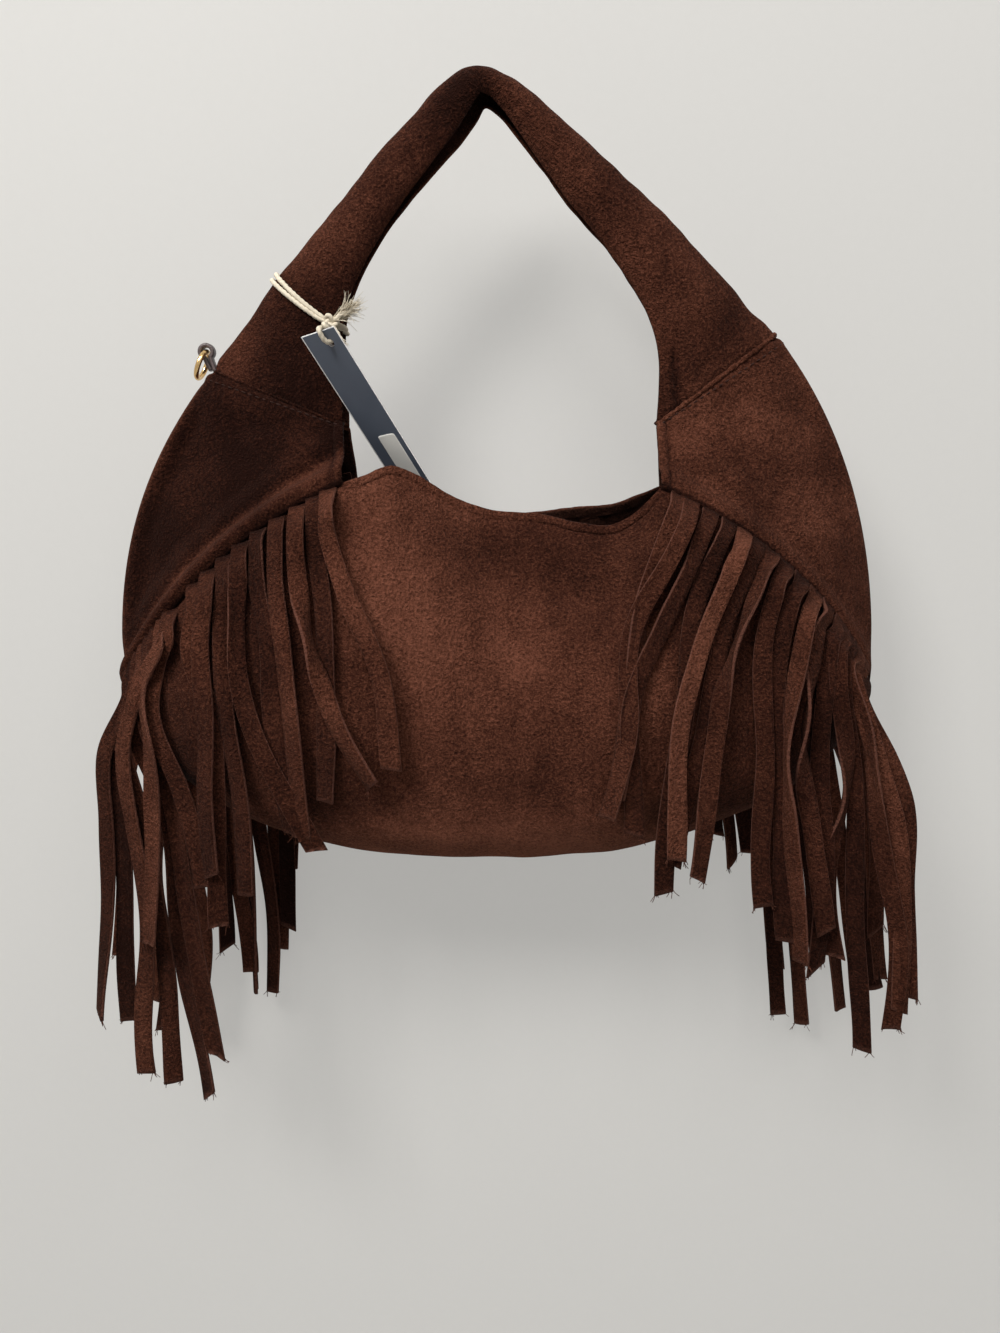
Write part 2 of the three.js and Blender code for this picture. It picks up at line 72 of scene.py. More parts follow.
# Each strand: its lift in layers, then the x, z points that it hangs through.
STRANDS = {
    "front_left": [
        (2, (-72, -190), (-62, -214), (-54, -250), (-45, -291)),
        (0, (-78, -200), (-69, -236), (-70, -273), (-74, -306)),
        (2, (-86, -205), (-77, -242), (-66, -270), (-51, -298)),
        (1, (-96, -212), (-92, -240), (-89, -275), (-89, -323)),
        (0, (-105, -217), (-99, -250), (-95, -285), (-96, -322)),
        (1, (-114, -224), (-112, -250), (-108, -278), (-80, -329)),
        (0, (-122, -230), (-119, -260), (-118, -300), (-118, -352)),
        (2, (-130, -236), (-129, -268), (-131, -305), (-129, -342)),
        (0, (-137, -240), (-127, -268), (-129, -308), (-135, -368)),
        (1, (-153, -246), (-151, -268), (-143, -302), (-137, -352)),
        (2, (-159, -254), (-157, -280), (-159, -320), (-163, -380)),
        (0, (-161, -268), (-153, -305), (-147, -360), (-141, -443)),
        (0, (-167, -276), (-159, -314), (-153, -370), (-147, -466)),
        (2, (-170, -280), (-169, -322), (-171, -370), (-174, -452)),
        (1, (-174, -284), (-167, -322), (-163, -370), (-162, -460)),
        (0, (-178, -287), (-179, -325), (-181, -370), (-183, -427)),
        (1, (-183, -290), (-186, -325), (-190, -370), (-196, -423)),
    ],
    "front_right": [
        (1, (77, -196), (65, -224), (57, -262), (54, -308)),
        (2, (82, -200), (64, -232), (54, -275), (52, -314)),
        (1, (92, -204), (75, -230), (63, -268), (59, -323)),
        (0, (101, -208), (86, -232), (79, -270), (77, -352)),
        (2, (108, -214), (90, -242), (82, -275), (74, -334)),
        (0, (115, -222), (97, -250), (89, -285), (84, -339)),
        (1, (121, -226), (102, -248), (96, -285), (90, -345)),
        (1, (128, -232), (117, -258), (120, -300), (127, -361)),
        (0, (136, -240), (127, -270), (130, -315), (134, -379)),
        (2, (144, -248), (132, -275), (135, -320), (140, -388)),
        (1, (150, -256), (138, -285), (144, -325), (154, -376)),
        (0, (157, -266), (150, -300), (150, -340), (152, -397)),
        (1, (168, -276), (159, -312), (157, -350), (160, -392)),
        (0, (173, -281), (168, -320), (170, -370), (176.5, -443)),
        (1, (177, -285), (181, -322), (186, -366), (192, -433)),
        (2, (181, -288), (187, -325), (191, -365), (195.5, -424)),
        (1, (186, -290), (193, -322), (196, -362), (197.5, -418)),
    ],
    "back_left": [
        (0, (-77, -230), (-72, -300)), (1, (-86, -230), (-80, -310)), (0, (-97, -250), (-114, -368)),
        (1, (-106, -260), (-119, -384)), (0, (-114, -270), (-122, -418)), (2, (-122, -275), (-127, -432)),
        (1, (-130, -285), (-131, -458)), (0, (-138, -290), (-140, -456)), (1, (-146, -295), (-145, -442)),
        (0, (-153, -300), (-154, -426)), (2, (-163, -305), (-171, -474)), (1, (-170, -310), (-179, -438)),
        (0, (-178, -315), (-190, -470)), (1, (-184, -320), (-194, -452)), (1, (-191, -300), (-211, -424)),
    ],
    "back_right": [
        (0, (87, -230), (82, -300)), (1, (96, -235), (90, -312)), (0, (107, -250), (129, -366)),
        (1, (116, -260), (136, -384)), (0, (124, -270), (142, -376)), (2, (131, -275), (148, -372)),
        (1, (139, -285), (159, -446)), (0, (146, -290), (161, -474)), (1, (154, -295), (173, -480)),
        (0, (161, -300), (181, -434)), (2, (169, -305), (196, -470)), (1, (177, -310), (205, -458)),
        (0, (186, -315), (210, -452)), (1, (193, -310), (214, -446)), (1, (195, -300), (210, -416)),
    ],
}
HINGE = np.array((-130.76, 0.0, -106.61))
RING_RADIUS, RING_WIRE, RING_LEAN = 6.3, 1.2, math.radians(23.5)
CORD_RADIUS, CORD_PITCH, CORD_CLEAR = 1.0, 3.6, 0.4
CORD_STATION = 0.115  # share of the way along the handle at which the cord goes round
KNOT_RADIUS, KNOT_TURN = 2.6, -0.86  # and how far round the fold its knot sits


# ---- small sums on arrays
def unit(v):
    """Each vector divided by its length."""
    return v / np.maximum(np.linalg.norm(v, axis=-1, keepdims=True), 1e-9)


def mix(a, b, k):
    """a at k = 0 and b at k = 1, straight between."""
    return a + (b - a) * k


def ease(x, low, high):
    """0 below low and 1 above high, with a smooth cubic step between."""
    t = np.clip((x - low) / (high - low), 0, 1)
    return t * t * (3 - 2 * t)


def hump(x, centre, width):
    """A bell of height 1 at the centre: exp(-((x - centre) / width) squared)."""
    return np.exp(-((x - centre) / width) ** 2)


def ripple(points, seed, size, count=18):
    """A smooth field of about -1 to 1: plane waves about size long in seeded ways, added up."""
    rng = np.random.default_rng(seed)
    way = unit(rng.normal(size=(count, 3))) * (2 * np.pi / size) * rng.uniform(0.7, 1.5, (count, 1))
    phase = rng.uniform(0, 2 * np.pi, count)
    return np.sin(points @ way.T + phase).sum(-1) / np.sqrt(count / 2) / 1.5


def bezier(t, a, b, c, d):
    """Cubic Bezier sum of four control values at t."""
    return (1 - t) ** 3 * a + 3 * (1 - t) ** 2 * t * b + 3 * (1 - t) * t**2 * c + t**3 * d


def smooth_path(points, t):
    """Centripetal Catmull-Rom curve through the points: cubic pieces whose slopes come from the
    neighbours, weighted by the square root of the gaps. t runs 0 to 1, a like share for each gap."""
    p = np.asarray(points, float)
    p = np.vstack([2 * p[0] - p[1], p, 2 * p[-1] - p[-2]])
    place = np.clip(t, 0, 1) * (len(p) - 3)
    k = np.minimum(place.astype(int), len(p) - 4)
    u = (place - k)[:, None]
    gap = np.maximum(np.sqrt(np.linalg.norm(np.diff(p, axis=0), axis=1)), 1e-4)[:, None]
    a, b, c, d = p[k], p[k + 1], p[k + 2], p[k + 3]
    da, db, dc = gap[k], gap[k + 1], gap[k + 2]
    m1 = ((b - a) / da - (c - a) / (da + db) + (c - b) / db) * db
    m2 = ((c - b) / db - (d - b) / (db + dc) + (d - c) / dc) * db
    return b + m1 * u + (3 * c - 3 * b - 2 * m1 - m2) * u**2 + (2 * b - 2 * c + m1 + m2) * u**3


def run_along(line):
    """The way run at each point of a line, from 0."""
    return np.concatenate([[0], np.cumsum(np.linalg.norm(np.diff(line, axis=0), axis=1))])


def run_length(line):
    """The length of a line of points."""
    return float(run_along(line)[-1])


def along_line(line, shares):
    """Points at the given shares of a line's length, straight between its own points."""
    run = run_along(line)
    return np.stack([np.interp(np.asarray(shares) * run[-1], run, c) for c in line.T], -1)


def spans(*parts):
    """Even steps over stretches in turn, each with its start, end and count."""
    return np.concatenate([np.linspace(*parts[0])] + [np.linspace(*part)[1:] for part in parts[1:]])


# ---- the bag's surfaces
def fold_point(inner, outer, half, wrap, bow, w):
    """Across a fold, from the front inner edge (w = -1) round the outer edge (0) to the back inner
    edge (1): an arc of an ellipse of the wrap's angle, bowed to one side by a parabola."""
    angle = wrap * np.pi * w
    gape = np.cos(wrap * np.pi)
    q = ((np.cos(angle) - gape) / (1 - gape))[..., None]
    across = outer - inner
    side = unit(np.stack([-across[..., 1], across[..., 0]], -1))
    side = side * np.where(side[..., 1:] < 0, -1, 1)
    flat = inner + across * q + side * (np.asarray(bow)[..., None] * 4 * q * (1 - q))
    return np.stack([flat[..., 0], half * np.sin(angle), flat[..., 1]], -1)


def back_draw(side, w, s):
    """How far the right yoke's back inner edge is drawn outwards: 7 at the mouth, 4 at the strap."""
    reach = mix(7.0, 4.0, s) * ease(w, 0, 1) * (side is RIGHT)
    return np.stack([reach, 0 * reach], -1)


def seam_line(side, face, f):
    """The seam of body and yoke, from the mouth's corner (f = 0) to the tip (f = 1)."""
    corner, tip = np.array(side["corner"], float), np.array(side["tip"], float)
    corner = corner + back_draw(side, face * (1 - f), 0 * f)
    return fold_point(corner, tip, SEAM_HALF, 0.5, SEAM_BOW, face * (1 - f))


def yoke_surface(side, s, w):
    """The yoke from the body's seam (s = 0) to the strap's seam (s = 1): folds between a straight
    inner edge and a Bezier outer edge, with a depth that narrows towards the strap."""
    get = {k: np.array(v, float) for k, v in side.items()}
    out = np.sign(get["tip"][0])
    t = (1 - s)[..., None]
    outer = bezier(t, get["strap_out"], get["strap_out"] + FOLD_LEAD * np.array((out * 0.65, -0.76)),
                   get["tip"] + np.array((out * 2, FOLD_RISE)), get["tip"])
    inner = mix(get["corner"], get["strap_in"], s[..., None]) + back_draw(side, w, s)
    return fold_point(inner, outer, mix(SEAM_HALF, STRAP_HALF, s), 0.5, SEAM_BOW * (1 - s) ** 2, w)


def smooth_rows():
    """The handle's rows at fine steps: smooth paths through them, then averaged over a bell of
    neighbours so that no row shows as a bump. The ends stay where they are."""
    rows = np.array(STRAP_ROWS, float)
    t = np.linspace(0, 1, 601)
    inner, outer = smooth_path(rows[:, [0, 4, 1]], t), smooth_path(rows[:, [2, 5, 3]], t)
    fine = np.concatenate([inner, outer], 1)
    bell = hump(np.arange(-40, 41), 0, 17)
    whole = np.concatenate([2 * fine[0] - fine[40:0:-1], fine, 2 * fine[-1] - fine[-2:-42:-1]])
    return np.stack([np.convolve(c, bell / bell.sum(), "valid") for c in whole.T], -1)


STRAP = smooth_rows()


def strap_surface(s, w):
    """The handle from the left seam (s = 0) to the right (s = 1): folds between two smooth paths.
    About the top the fold gapes and its back edge hangs lower; at the right its back edge draws in."""
    shape = np.broadcast_shapes(s.shape, w.shape)
    s, w = np.broadcast_to(s, shape).ravel(), np.broadcast_to(w, shape).ravel()
    ix, half, iz, ox, wrap, oz = [np.interp(s, np.linspace(0, 1, 601), c) for c in STRAP.T]
    inner, outer = np.stack([ix, iz], -1), np.stack([ox, oz], -1)
    drop = 3.5 * hump(s, 0.42, 0.13) - 4.0 * ease(s, 0.72, 0.95)
    inner = inner + unit(inner - outer) * (drop * ease(w, 0, 1))[:, None]
    wrap = wrap - 0.18 * hump(s, 0.45, 0.13)
    return fold_point(inner, outer, half, wrap, 0.0 * s, w).reshape(*shape, 3)


def strap_middle(s):
    """Halfway between the handle's front and back."""
    return (strap_surface(s, 0 * s - 0.5) + strap_surface(s, 0 * s + 0.5)) / 2


def off_surface(make, a, b, out_from):
    """Points of a surface along a line of its two numbers, with unit normals that point away from
    the given points."""
    h = 1e-3
    normal = unit(np.cross(make(a + h, b) - make(a - h, b), make(a, b + h) - make(a, b - h)))
    point = make(a, b)
    return point, normal * np.sign(((point - out_from) * normal).sum(-1, keepdims=True))


def off_strap(s, w, clearance):
    """A point off the handle's outside by the clearance, along the surface's normal."""
    point, normal = off_surface(strap_surface, s, w, strap_middle(s))
    return point + normal * (SUEDE / 2 + clearance)


def top_edge(face):
    """The body's top edge on one face, left tip to right tip: seam, mouth, seam."""
    f = np.linspace(0, 1, 160)
    ends = [seam_line(side, face, np.zeros(1)) for side in (LEFT, RIGHT)]
    lip = smooth_path(np.vstack([ends[0], MOUTH[face], ends[1]]), np.linspace(0, 1, 300))
    return np.vstack([seam_line(LEFT, face, f[::-1]), lip[1:-1], seam_line(RIGHT, face, f)])


EDGES = {face: top_edge(face) for face in (FRONT, BACK)}
MIDDLE = (LEFT["tip"][0] + RIGHT["tip"][0]) / 2
REACH = (RIGHT["tip"][0] - LEFT["tip"][0]) / 2
# Soft swells of each face: x, z, half width, half height, turn in degrees, height.
SWELLS = {
    FRONT: [(-30, -214, 34, 30, 20, 3.2), (30, -212, 40, 16, -14, -3.4), (66, -250, 26, 40, 10, 1.6),
            (10, -270, 60, 22, 12, 1.8), (-8, -318, 60, 14, -4, -1.2), (92, -320, 26, 18, 30, -2.6),
            (-80, -250, 24, 50, 0, -1.0), (64, -196, 14, 12, 40, 2.0)],
    BACK: [(20, -225, 46, 30, -15, 2.6), (-40, -240, 36, 40, 20, -2.4), (70, -280, 40, 26, 10, -1.8),
           (-10, -300, 60, 18, 5, 1.6)],
}


def swell(face, x, z):
    """How far a face stands out of its plain section: turned bells added up."""
    total = 0.0
    for cx, cz, wide, tall, turn, height in SWELLS[face]:
        c, s = math.cos(math.radians(turn)), math.sin(math.radians(turn))
        a, b = (x - cx) * c + (z - cz) * s, (z - cz) * c - (x - cx) * s
        total = total + height * hump(a, 0, wide) * hump(b, 0, tall)
    return total


def belly_section(face, x, t):
    """y and z of the body's half section at x: a Bezier from the top edge (t = 0) over the belly
    to the keel (t = 1). The keel and the belly are powers of the share of the way to the tips."""
    share = np.minimum(np.abs(x - MIDDLE) / REACH, 1)
    keel = LEFT["tip"][1] - KEEL_DROP * (1 - share**2.6) ** 0.75
    belly = face * BELLY_HALF * (1 - share**3) ** 0.55
    edge = EDGES[face]
    y, z = np.interp(x, edge[:, 0], edge[:, 1]), np.interp(x, edge[:, 0], edge[:, 2])
    height = z - keel
    return (bezier(t, y, y + 0.6 * belly, 1.7 * belly, 0 * y),
            bezier(t, z, z - 0.35 * height, keel, keel))


def belly_depth(face, x, z):
    """Half depth of the body's face at x, z, by halving t until the section's z meets; 0 outside."""
    low, high = np.zeros(np.shape(x)), np.ones(np.shape(x))
    for _ in range(26):
        mid = (low + high) / 2
        above = belly_section(face, x, mid)[1] > z
        low, high = np.where(above, mid, low), np.where(above, high, mid)
    depth = np.abs(belly_section(face, x, low)[0])
    inside = (np.abs(x - MIDDLE) < REACH) & (belly_section(face, x, np.ones(np.shape(x)))[1] < z)
    return np.where(inside, depth + swell(face, x, z), 0)


# ---- meshes from arrays
def put_mesh(name, points, quads, tris=None, values=None, finish=None):
    """An object at the origin from points in millimetres, four- and three-sided faces, and named
    numbers for each point."""
    points, quads = np.asarray(points, float).reshape(-1, 3), np.asarray(quads, int).reshape(-1, 4)
    tris = np.zeros((0, 3), int) if tris is None else np.asarray(tris, int).reshape(-1, 3)
    mesh = bpy.data.meshes.new(name)
    mesh.vertices.add(len(points))
    mesh.vertices.foreach_set("co", (points * MM).astype(np.float32).ravel())
    corners = np.concatenate([quads.ravel(), tris.ravel()])
    starts = np.concatenate([np.arange(len(quads)) * 4, quads.size + np.arange(len(tris)) * 3])
    mesh.loops.add(len(corners))
    mesh.loops.foreach_set("vertex_index", corners.astype(np.int32))
    mesh.polygons.add(len(starts))
    mesh.polygons.foreach_set("loop_start", starts.astype(np.int32))
    mesh.polygons.foreach_set("use_smooth", np.ones(len(starts), bool))
    mesh.update(calc_edges=True)
    mesh.validate()
    for key, value in (values or {}).items():
        layer = mesh.attributes.new(key, "FLOAT", "POINT")
        layer.data.foreach_set("value", np.asarray(value, np.float32).ravel())
    if finish is not None:
        mesh.materials.append(finish)
    piece = bpy.data.objects.new(name, mesh)
    bpy.context.scene.collection.objects.link(piece)
    return piece


def grid_quads(index):
    """The four-sided faces of a grid of point numbers."""
    return np.stack([index[:-1, :-1], index[1:, :-1], index[1:, 1:], index[:-1, 1:]], -1).reshape(-1, 4)


def normals_of(grid):
    """Unit normals of a grid of points: the cross product of its two slopes."""
    return unit(np.cross(np.gradient(grid, axis=0), np.gradient(grid, axis=1)))


def carry_on(grid, reach):
    """The grid with one more row and column on every side, straight on by reach."""
    def on(a, b):
        return a + unit(a - b) * reach
    grid = np.concatenate([on(grid[:1], grid[1:2]), grid, on(grid[-1:], grid[-2:-1])], 0)
    return np.concatenate([on(grid[:, :1], grid[:, 1:2]), grid, on(grid[:, -1:], grid[:, -2:-1])], 1)


def thick_sheet(name, middle, thick, values, finish, rim=SUEDE * 0.4):
    """A closed sheet about a grid of points: one skin half the thickness out along the normal, one
    half in, both drawn together to a rim. The outer skin is on the side of the normals."""
    grid = carry_on(middle, rim)
    rows, cols = grid.shape[:2]
    half = np.zeros((rows, cols))
    half[1:-1, 1:-1] = np.broadcast_to(thick, middle.shape[:2]) / 2
    normal = normals_of(grid)
    outer = grid + normal * half[..., None]
    inner = (grid - normal * half[..., None])[1:-1, 1:-1]
    top = np.arange(rows * cols).reshape(rows, cols)
    under = top.copy()
    under[1:-1, 1:-1] = rows * cols + np.arange((rows - 2) * (cols - 2)).reshape(rows - 2, cols - 2)
    points = np.vstack([outer.reshape(-1, 3), inner.reshape(-1, 3)])
    quads = np.vstack([grid_quads(top), grid_quads(under)[:, ::-1]])
    both = {key: np.concatenate([np.pad(value, 1, mode="edge").ravel(), value.ravel()])
            for key, value in values.items()}
    both["inside"] = np.concatenate([np.zeros(rows * cols), np.ones(inner[..., 0].size)])
    return put_mesh(name, points, quads, values=both, finish=finish)


def turn_under(grid, radius, tuck):
    """The grid with its first rows turned in: a quarter circle of the radius about the edge, then
    straight in by tuck, against the normals."""
    edge, normal = grid[0], normals_of(grid)[0]
    way = unit(grid[0] - grid[1])
    angle = np.radians([30, 60, 90])[:, None, None]
    bend = edge + radius * np.sin(angle) * way - radius * (1 - np.cos(angle)) * normal
    last = bend[-1:] - tuck * normal
    return np.concatenate([last, bend[::-1], grid], 0)


def turn_ends_under(grid, first, last, *values):
    """The grid with its first and its last rows turned in, each by a radius and a tuck, and the
    values carried on over the rows that this adds."""
    more = turn_under(grid, *first)
    more = turn_under(more[::-1, ::-1], *last)[::-1, ::-1]
    added = (len(more) - len(grid)) // 2
    return [more] + [np.pad(value, ((added, added), (0, 0)), mode="edge") for value in values]


def face_out(grid, centre, w):
    """The grid, its cross steps and its normals, run the other way across if these point inwards."""
    if (normals_of(grid) * (grid - centre)).sum(-1).mean() < 0:
        grid, w = grid[:, ::-1], w[::-1]
    return grid, w, normals_of(grid)


def sections_mesh(rings):
    """Points, quads and end triangles of tubes: an array of tubes, rings, points round a ring.
    Each end closes on a pole at its ring's middle."""
    count, steps, sides = rings.shape[:3]
    index = np.arange(count * steps * sides).reshape(count, steps, sides)
    index = np.concatenate([index, index[:, :, :1]], 2)
    quads = np.stack([index[:, :-1, :-1], index[:, :-1, 1:], index[:, 1:, 1:], index[:, 1:, :-1]], -1)
    poles = np.stack([rings[:, 0].mean(1), rings[:, -1].mean(1)], 1).reshape(-1, 3)
    pole = count * steps * sides + np.arange(2 * count).reshape(count, 2)
    first = np.stack([index[:, 0, 1:], index[:, 0, :-1],
                      np.broadcast_to(pole[:, :1], (count, sides))], -1)
    last = np.stack([index[:, -1, :-1], index[:, -1, 1:],
                     np.broadcast_to(pole[:, 1:], (count, sides))], -1)
    points = np.vstack([rings.reshape(-1, 3), poles])
    return points, quads.reshape(-1, 4), np.vstack([first.reshape(-1, 3), last.reshape(-1, 3)])


def carried_frames(lines, start):
    """Two cross directions along each line of points, carried from ring to ring with no twist."""
    along = unit(np.gradient(lines, axis=1))
    first = np.empty_like(lines)
    now = start
    for k in range(lines.shape[1]):
        now = unit(now - (now * along[:, k]).sum(-1, keepdims=True) * along[:, k])
        first[:, k] = now
    return first, np.cross(along, first)


def round_tubes(lines, radius, sides, start):
    """Tubes about lines of points: a circle of the radius in the carried frame."""
    one, two = carried_frames(lines, start)
    angle = np.arange(sides) * 2 * np.pi / sides
    ring = np.cos(angle)[:, None] * one[:, :, None] + np.sin(angle)[:, None] * two[:, :, None]
    return lines[:, :, None] + ring * np.asarray(radius)[..., None, None]


# ---- finishes
class Wire:
    """A value in a finish. The operators + - and * add Math nodes to its tree."""

    def __init__(self, finish, socket):
        self.finish, self.socket = finish, socket

    def sum_of(self, operation, a, b):
        return self.finish.node("ShaderNodeMath", {"operation": operation}, {0: a, 1: b})

    def __add__(self, other): return self.sum_of("ADD", self, other)
    def __radd__(self, other): return self.sum_of("ADD", other, self)
    def __sub__(self, other): return self.sum_of("SUBTRACT", self, other)
    def __rsub__(self, other): return self.sum_of("SUBTRACT", other, self)
    def __mul__(self, other): return self.sum_of("MULTIPLY", self, other)


class Finish:
    """A material or a world under way, with one method that makes any node."""

    def __init__(self, name, store=bpy.data.materials):
        self.made = store.new(name)
        self.made.use_nodes = True
        self.tree = self.made.node_tree
        self.tree.nodes.clear()

    def node(self, kind, settings=None, inputs=None, out=0):
        made = self.tree.nodes.new(kind)
        for key, value in (settings or {}).items():
            if key == "stops":
                ramp = made.color_ramp.elements
                while len(ramp) < len(value):
                    ramp.new(0.5)
                for stop, (place, colour) in zip(ramp, value):
                    stop.position, stop.color = place, (*colour, 1)
            else:
                setattr(made, key, value)
        for key, value in (inputs or {}).items():
            if isinstance(value, Wire):
                self.tree.links.new(value.socket, made.inputs[key])
            else:
                made.inputs[key].default_value = value
        return Wire(self, made.outputs[out]) if len(made.outputs) else None

    def place(self):
        return self.node("ShaderNodeTexCoord", out="Object")

    def noise(self, where, scale, detail=2.0, rough=0.5):
        return self.node("ShaderNodeTexNoise", {}, {"Vector": where, "Scale": scale, "Detail": detail,
                                                    "Roughness": rough}, "Fac")

    def blend(self, factor, a, b):
        """Colour a at 0 and b at 1. A colour is another wire, or red, green and blue."""
        a, b = [c if isinstance(c, Wire) else (*c, 1) for c in (a, b)]
        return self.node("ShaderNodeMix", {"data_type": "RGBA"}, {0: factor, 6: a, 7: b}, 2)

    def bump(self, strength, distance, height):
        return self.node("ShaderNodeBump", {}, {"Strength": strength, "Distance": distance,
                                                "Height": height})

    def point_value(self, name):
        return self.node("ShaderNodeAttribute", {"attribute_name": name}, {}, "Fac")

    def along(self, vector, way):
        """How far a vector reaches along a way: their dot product."""
        return self.node("ShaderNodeVectorMath", {"operation": "DOT_PRODUCT"},
                         {0: vector, 1: tuple(way)}, "Value")

    def seen(self):
        """1 for the rays that show a thing itself, not its light: camera, glossy, transmission."""
        camera, glossy, through = [self.node("ShaderNodeLightPath", out="Is %s Ray" % kind)
                                   for kind in ("Camera", "Glossy", "Transmission")]
        return limit(camera + glossy + through)

    def surface(self, inputs):
        shader = self.node("ShaderNodeBsdfPrincipled", {}, inputs)
        self.node("ShaderNodeOutputMaterial", {}, {"Surface": shader})
        return self.made


def limit(wire, low=0.0, high=1.0):
    """A value held between two numbers."""
    return wire.finish.node("ShaderNodeClamp", {}, {"Value": wire, "Min": low, "Max": high})


def suede_finish():
    """Napped suede: brown that drifts in brushed clouds and mottles, a fine fibrous grain with
    pale fibre ends, lighter raw edges, and a grain bump under a soft sheen. Each piece's
    nap value adds its tone and its painted shade and painted light, and the
    inner skins are painted near-black as painted shade inside the bag and its folds."""
    f = Finish("brown_suede")
    where = f.place()
    brushed = f.node("ShaderNodeMapping", {}, {"Vector": where, "Rotation": (0.3, 0.4, 0.5),
                                               "Scale": (1.0, 0.6, 0.45)})
    cloud, stroke = f.noise(where, 24.0, 3.0, 0.55), f.noise(brushed, 75.0, 3.0, 0.6)
    mottle, pebble = f.noise(where, 230.0, 3.0, 0.6), f.noise(where, 780.0, 2.0, 0.55)
    grain = f.noise(where, 1600.0, 2.0, 0.6)
    nap, edge, inside = [f.point_value(name) for name in ("nap", "edge", "inside")]
    # The point value holds each piece's tone together with the painted shade and painted light laid on it.
    shaded_tone = limit(0.5 + nap + (cloud - 0.5) * 0.65 + (stroke - 0.5) * 0.32 + (mottle - 0.5) * 0.15
                 + (pebble - 0.5) * 0.95 + (grain - 0.5) * 0.85)
    brown = f.node("ShaderNodeValToRGB", {"stops": [
        (0.0, (0.0100, 0.0030, 0.0018)), (0.3, (0.0315, 0.0099, 0.0056)),
        (0.55, (0.0660, 0.0220, 0.0124)), (1.0, (0.1640, 0.0600, 0.0360))]}, {"Fac": shaded_tone})
    brown = f.blend(edge * 0.46, brown, (0.165, 0.070, 0.050))
    # Painted shade: the inner skins, inside the bag and inside its folds, are blended towards near-black.
    brown = f.blend(inside * 0.7, brown, (0.010, 0.0050, 0.0038))
    return f.surface({"Base Color": brown, "Roughness": 0.95, "Specular IOR Level": 0.04,
                      "Sheen Weight": 0.03, "Sheen Roughness": 0.45,
                      "Sheen Tint": (0.80, 0.45, 0.36, 1),
                      "Normal": f.bump(1.0, 0.0018, pebble * 1.1 + grain * 0.6 + mottle * 0.4)})


def thread_finish(name, dark, light, scale):
    """Thread or cotton: two shades mixed by a fine noise, with a matt fibrous bump."""
    f = Finish(name)
    where = f.place()
    fine, broad = f.noise(where, scale, 3.0, 0.6), f.noise(where, scale / 8, 2.0)
    shade = limit(fine * 0.7 + broad * 0.5 - 0.1)
    return f.surface({"Base Color": f.blend(shade, dark, light), "Roughness": 0.9,
                      "Specular IOR Level": 0.2, "Sheen Weight": 0.04,
                      "Normal": f.bump(0.5, 0.0002, fine)})


def leather_finish():
    """Smooth dark leather: fine pebbles, a soft shine and a slightly paler cut edge."""
    f = Finish("dark_tab_leather")
    where = f.place()
    pebble = f.node("ShaderNodeTexVoronoi", {}, {"Vector": where, "Scale": 1900.0}, "Distance")
    drift = f.noise(where, 300.0, 3.0)
    colour = f.blend(drift, (0.022, 0.014, 0.014), (0.055, 0.038, 0.037))
    colour = f.blend(f.point_value("edge") * 0.6, colour, (0.075, 0.050, 0.046))
    return f.surface({"Base Color": colour, "Roughness": drift * 0.2 + 0.32,
                      "Specular IOR Level": 0.5, "Normal": f.bump(0.35, 0.0002, pebble)})


def gold_finish():
    """Pale gold plating: polished metal with faint wear that dulls it in patches."""
    f = Finish("pale_gold")
    wear = f.noise(f.place(), 900.0, 4.0, 0.6)
    return f.surface({"Base Color": f.blend(wear, (0.83, 0.58, 0.27), (0.66, 0.43, 0.19)),
                      "Metallic": 1.0, "Roughness": wear * 0.18 + 0.12,
                      "Normal": f.bump(0.08, 0.0001, wear)})


def card_finish(facing, across, left):
    """Slate-blue card with white cut edges: white where the surface turns away from the face, and
    in a hair line down the left border of each card, where the cut is crushed over the face."""
    f = Finish("slate_card")
    where = f.place()
    in_from = f.along(where, across) * (1 / MM) - left
    border = (limit((0.42 - in_from) * 12.0) * limit((in_from + 0.05) * 12.0)
              + limit((-0.85 - in_from) * 12.0))
    face = f.along(f.node("ShaderNodeNewGeometry", out="Normal"), facing)
    flat = limit((face * face - 0.4) * 8.0)
    pulp, drift = f.noise(where, 2600.0, 2.0), f.noise(where, 60.0, 2.0)
    slate = f.blend(drift * 0.6 + pulp * 0.25, (0.062, 0.076, 0.106), (0.120, 0.136, 0.170))
    return f.surface({"Base Color": f.blend(limit(flat - border), (0.74, 0.73, 0.72), slate),
                      "Roughness": pulp * 0.2 + 0.45, "Specular IOR Level": 0.4,
                      "Normal": f.bump(0.15, 0.0001, pulp)})


def label_finish():
    """Blank cream paper with a faint pulp and soft yellowing."""
    f = Finish("cream_label")
    where = f.place()
    pulp, age = f.noise(where, 2200.0, 3.0), f.noise(where, 120.0, 2.0)
    colour = f.blend(pulp * 0.4 + age * 0.4, (0.76, 0.75, 0.71), (0.88, 0.87, 0.83))
    return f.surface({"Base Color": colour, "Roughness": 0.7, "Normal": f.bump(0.1, 0.0001, pulp)})


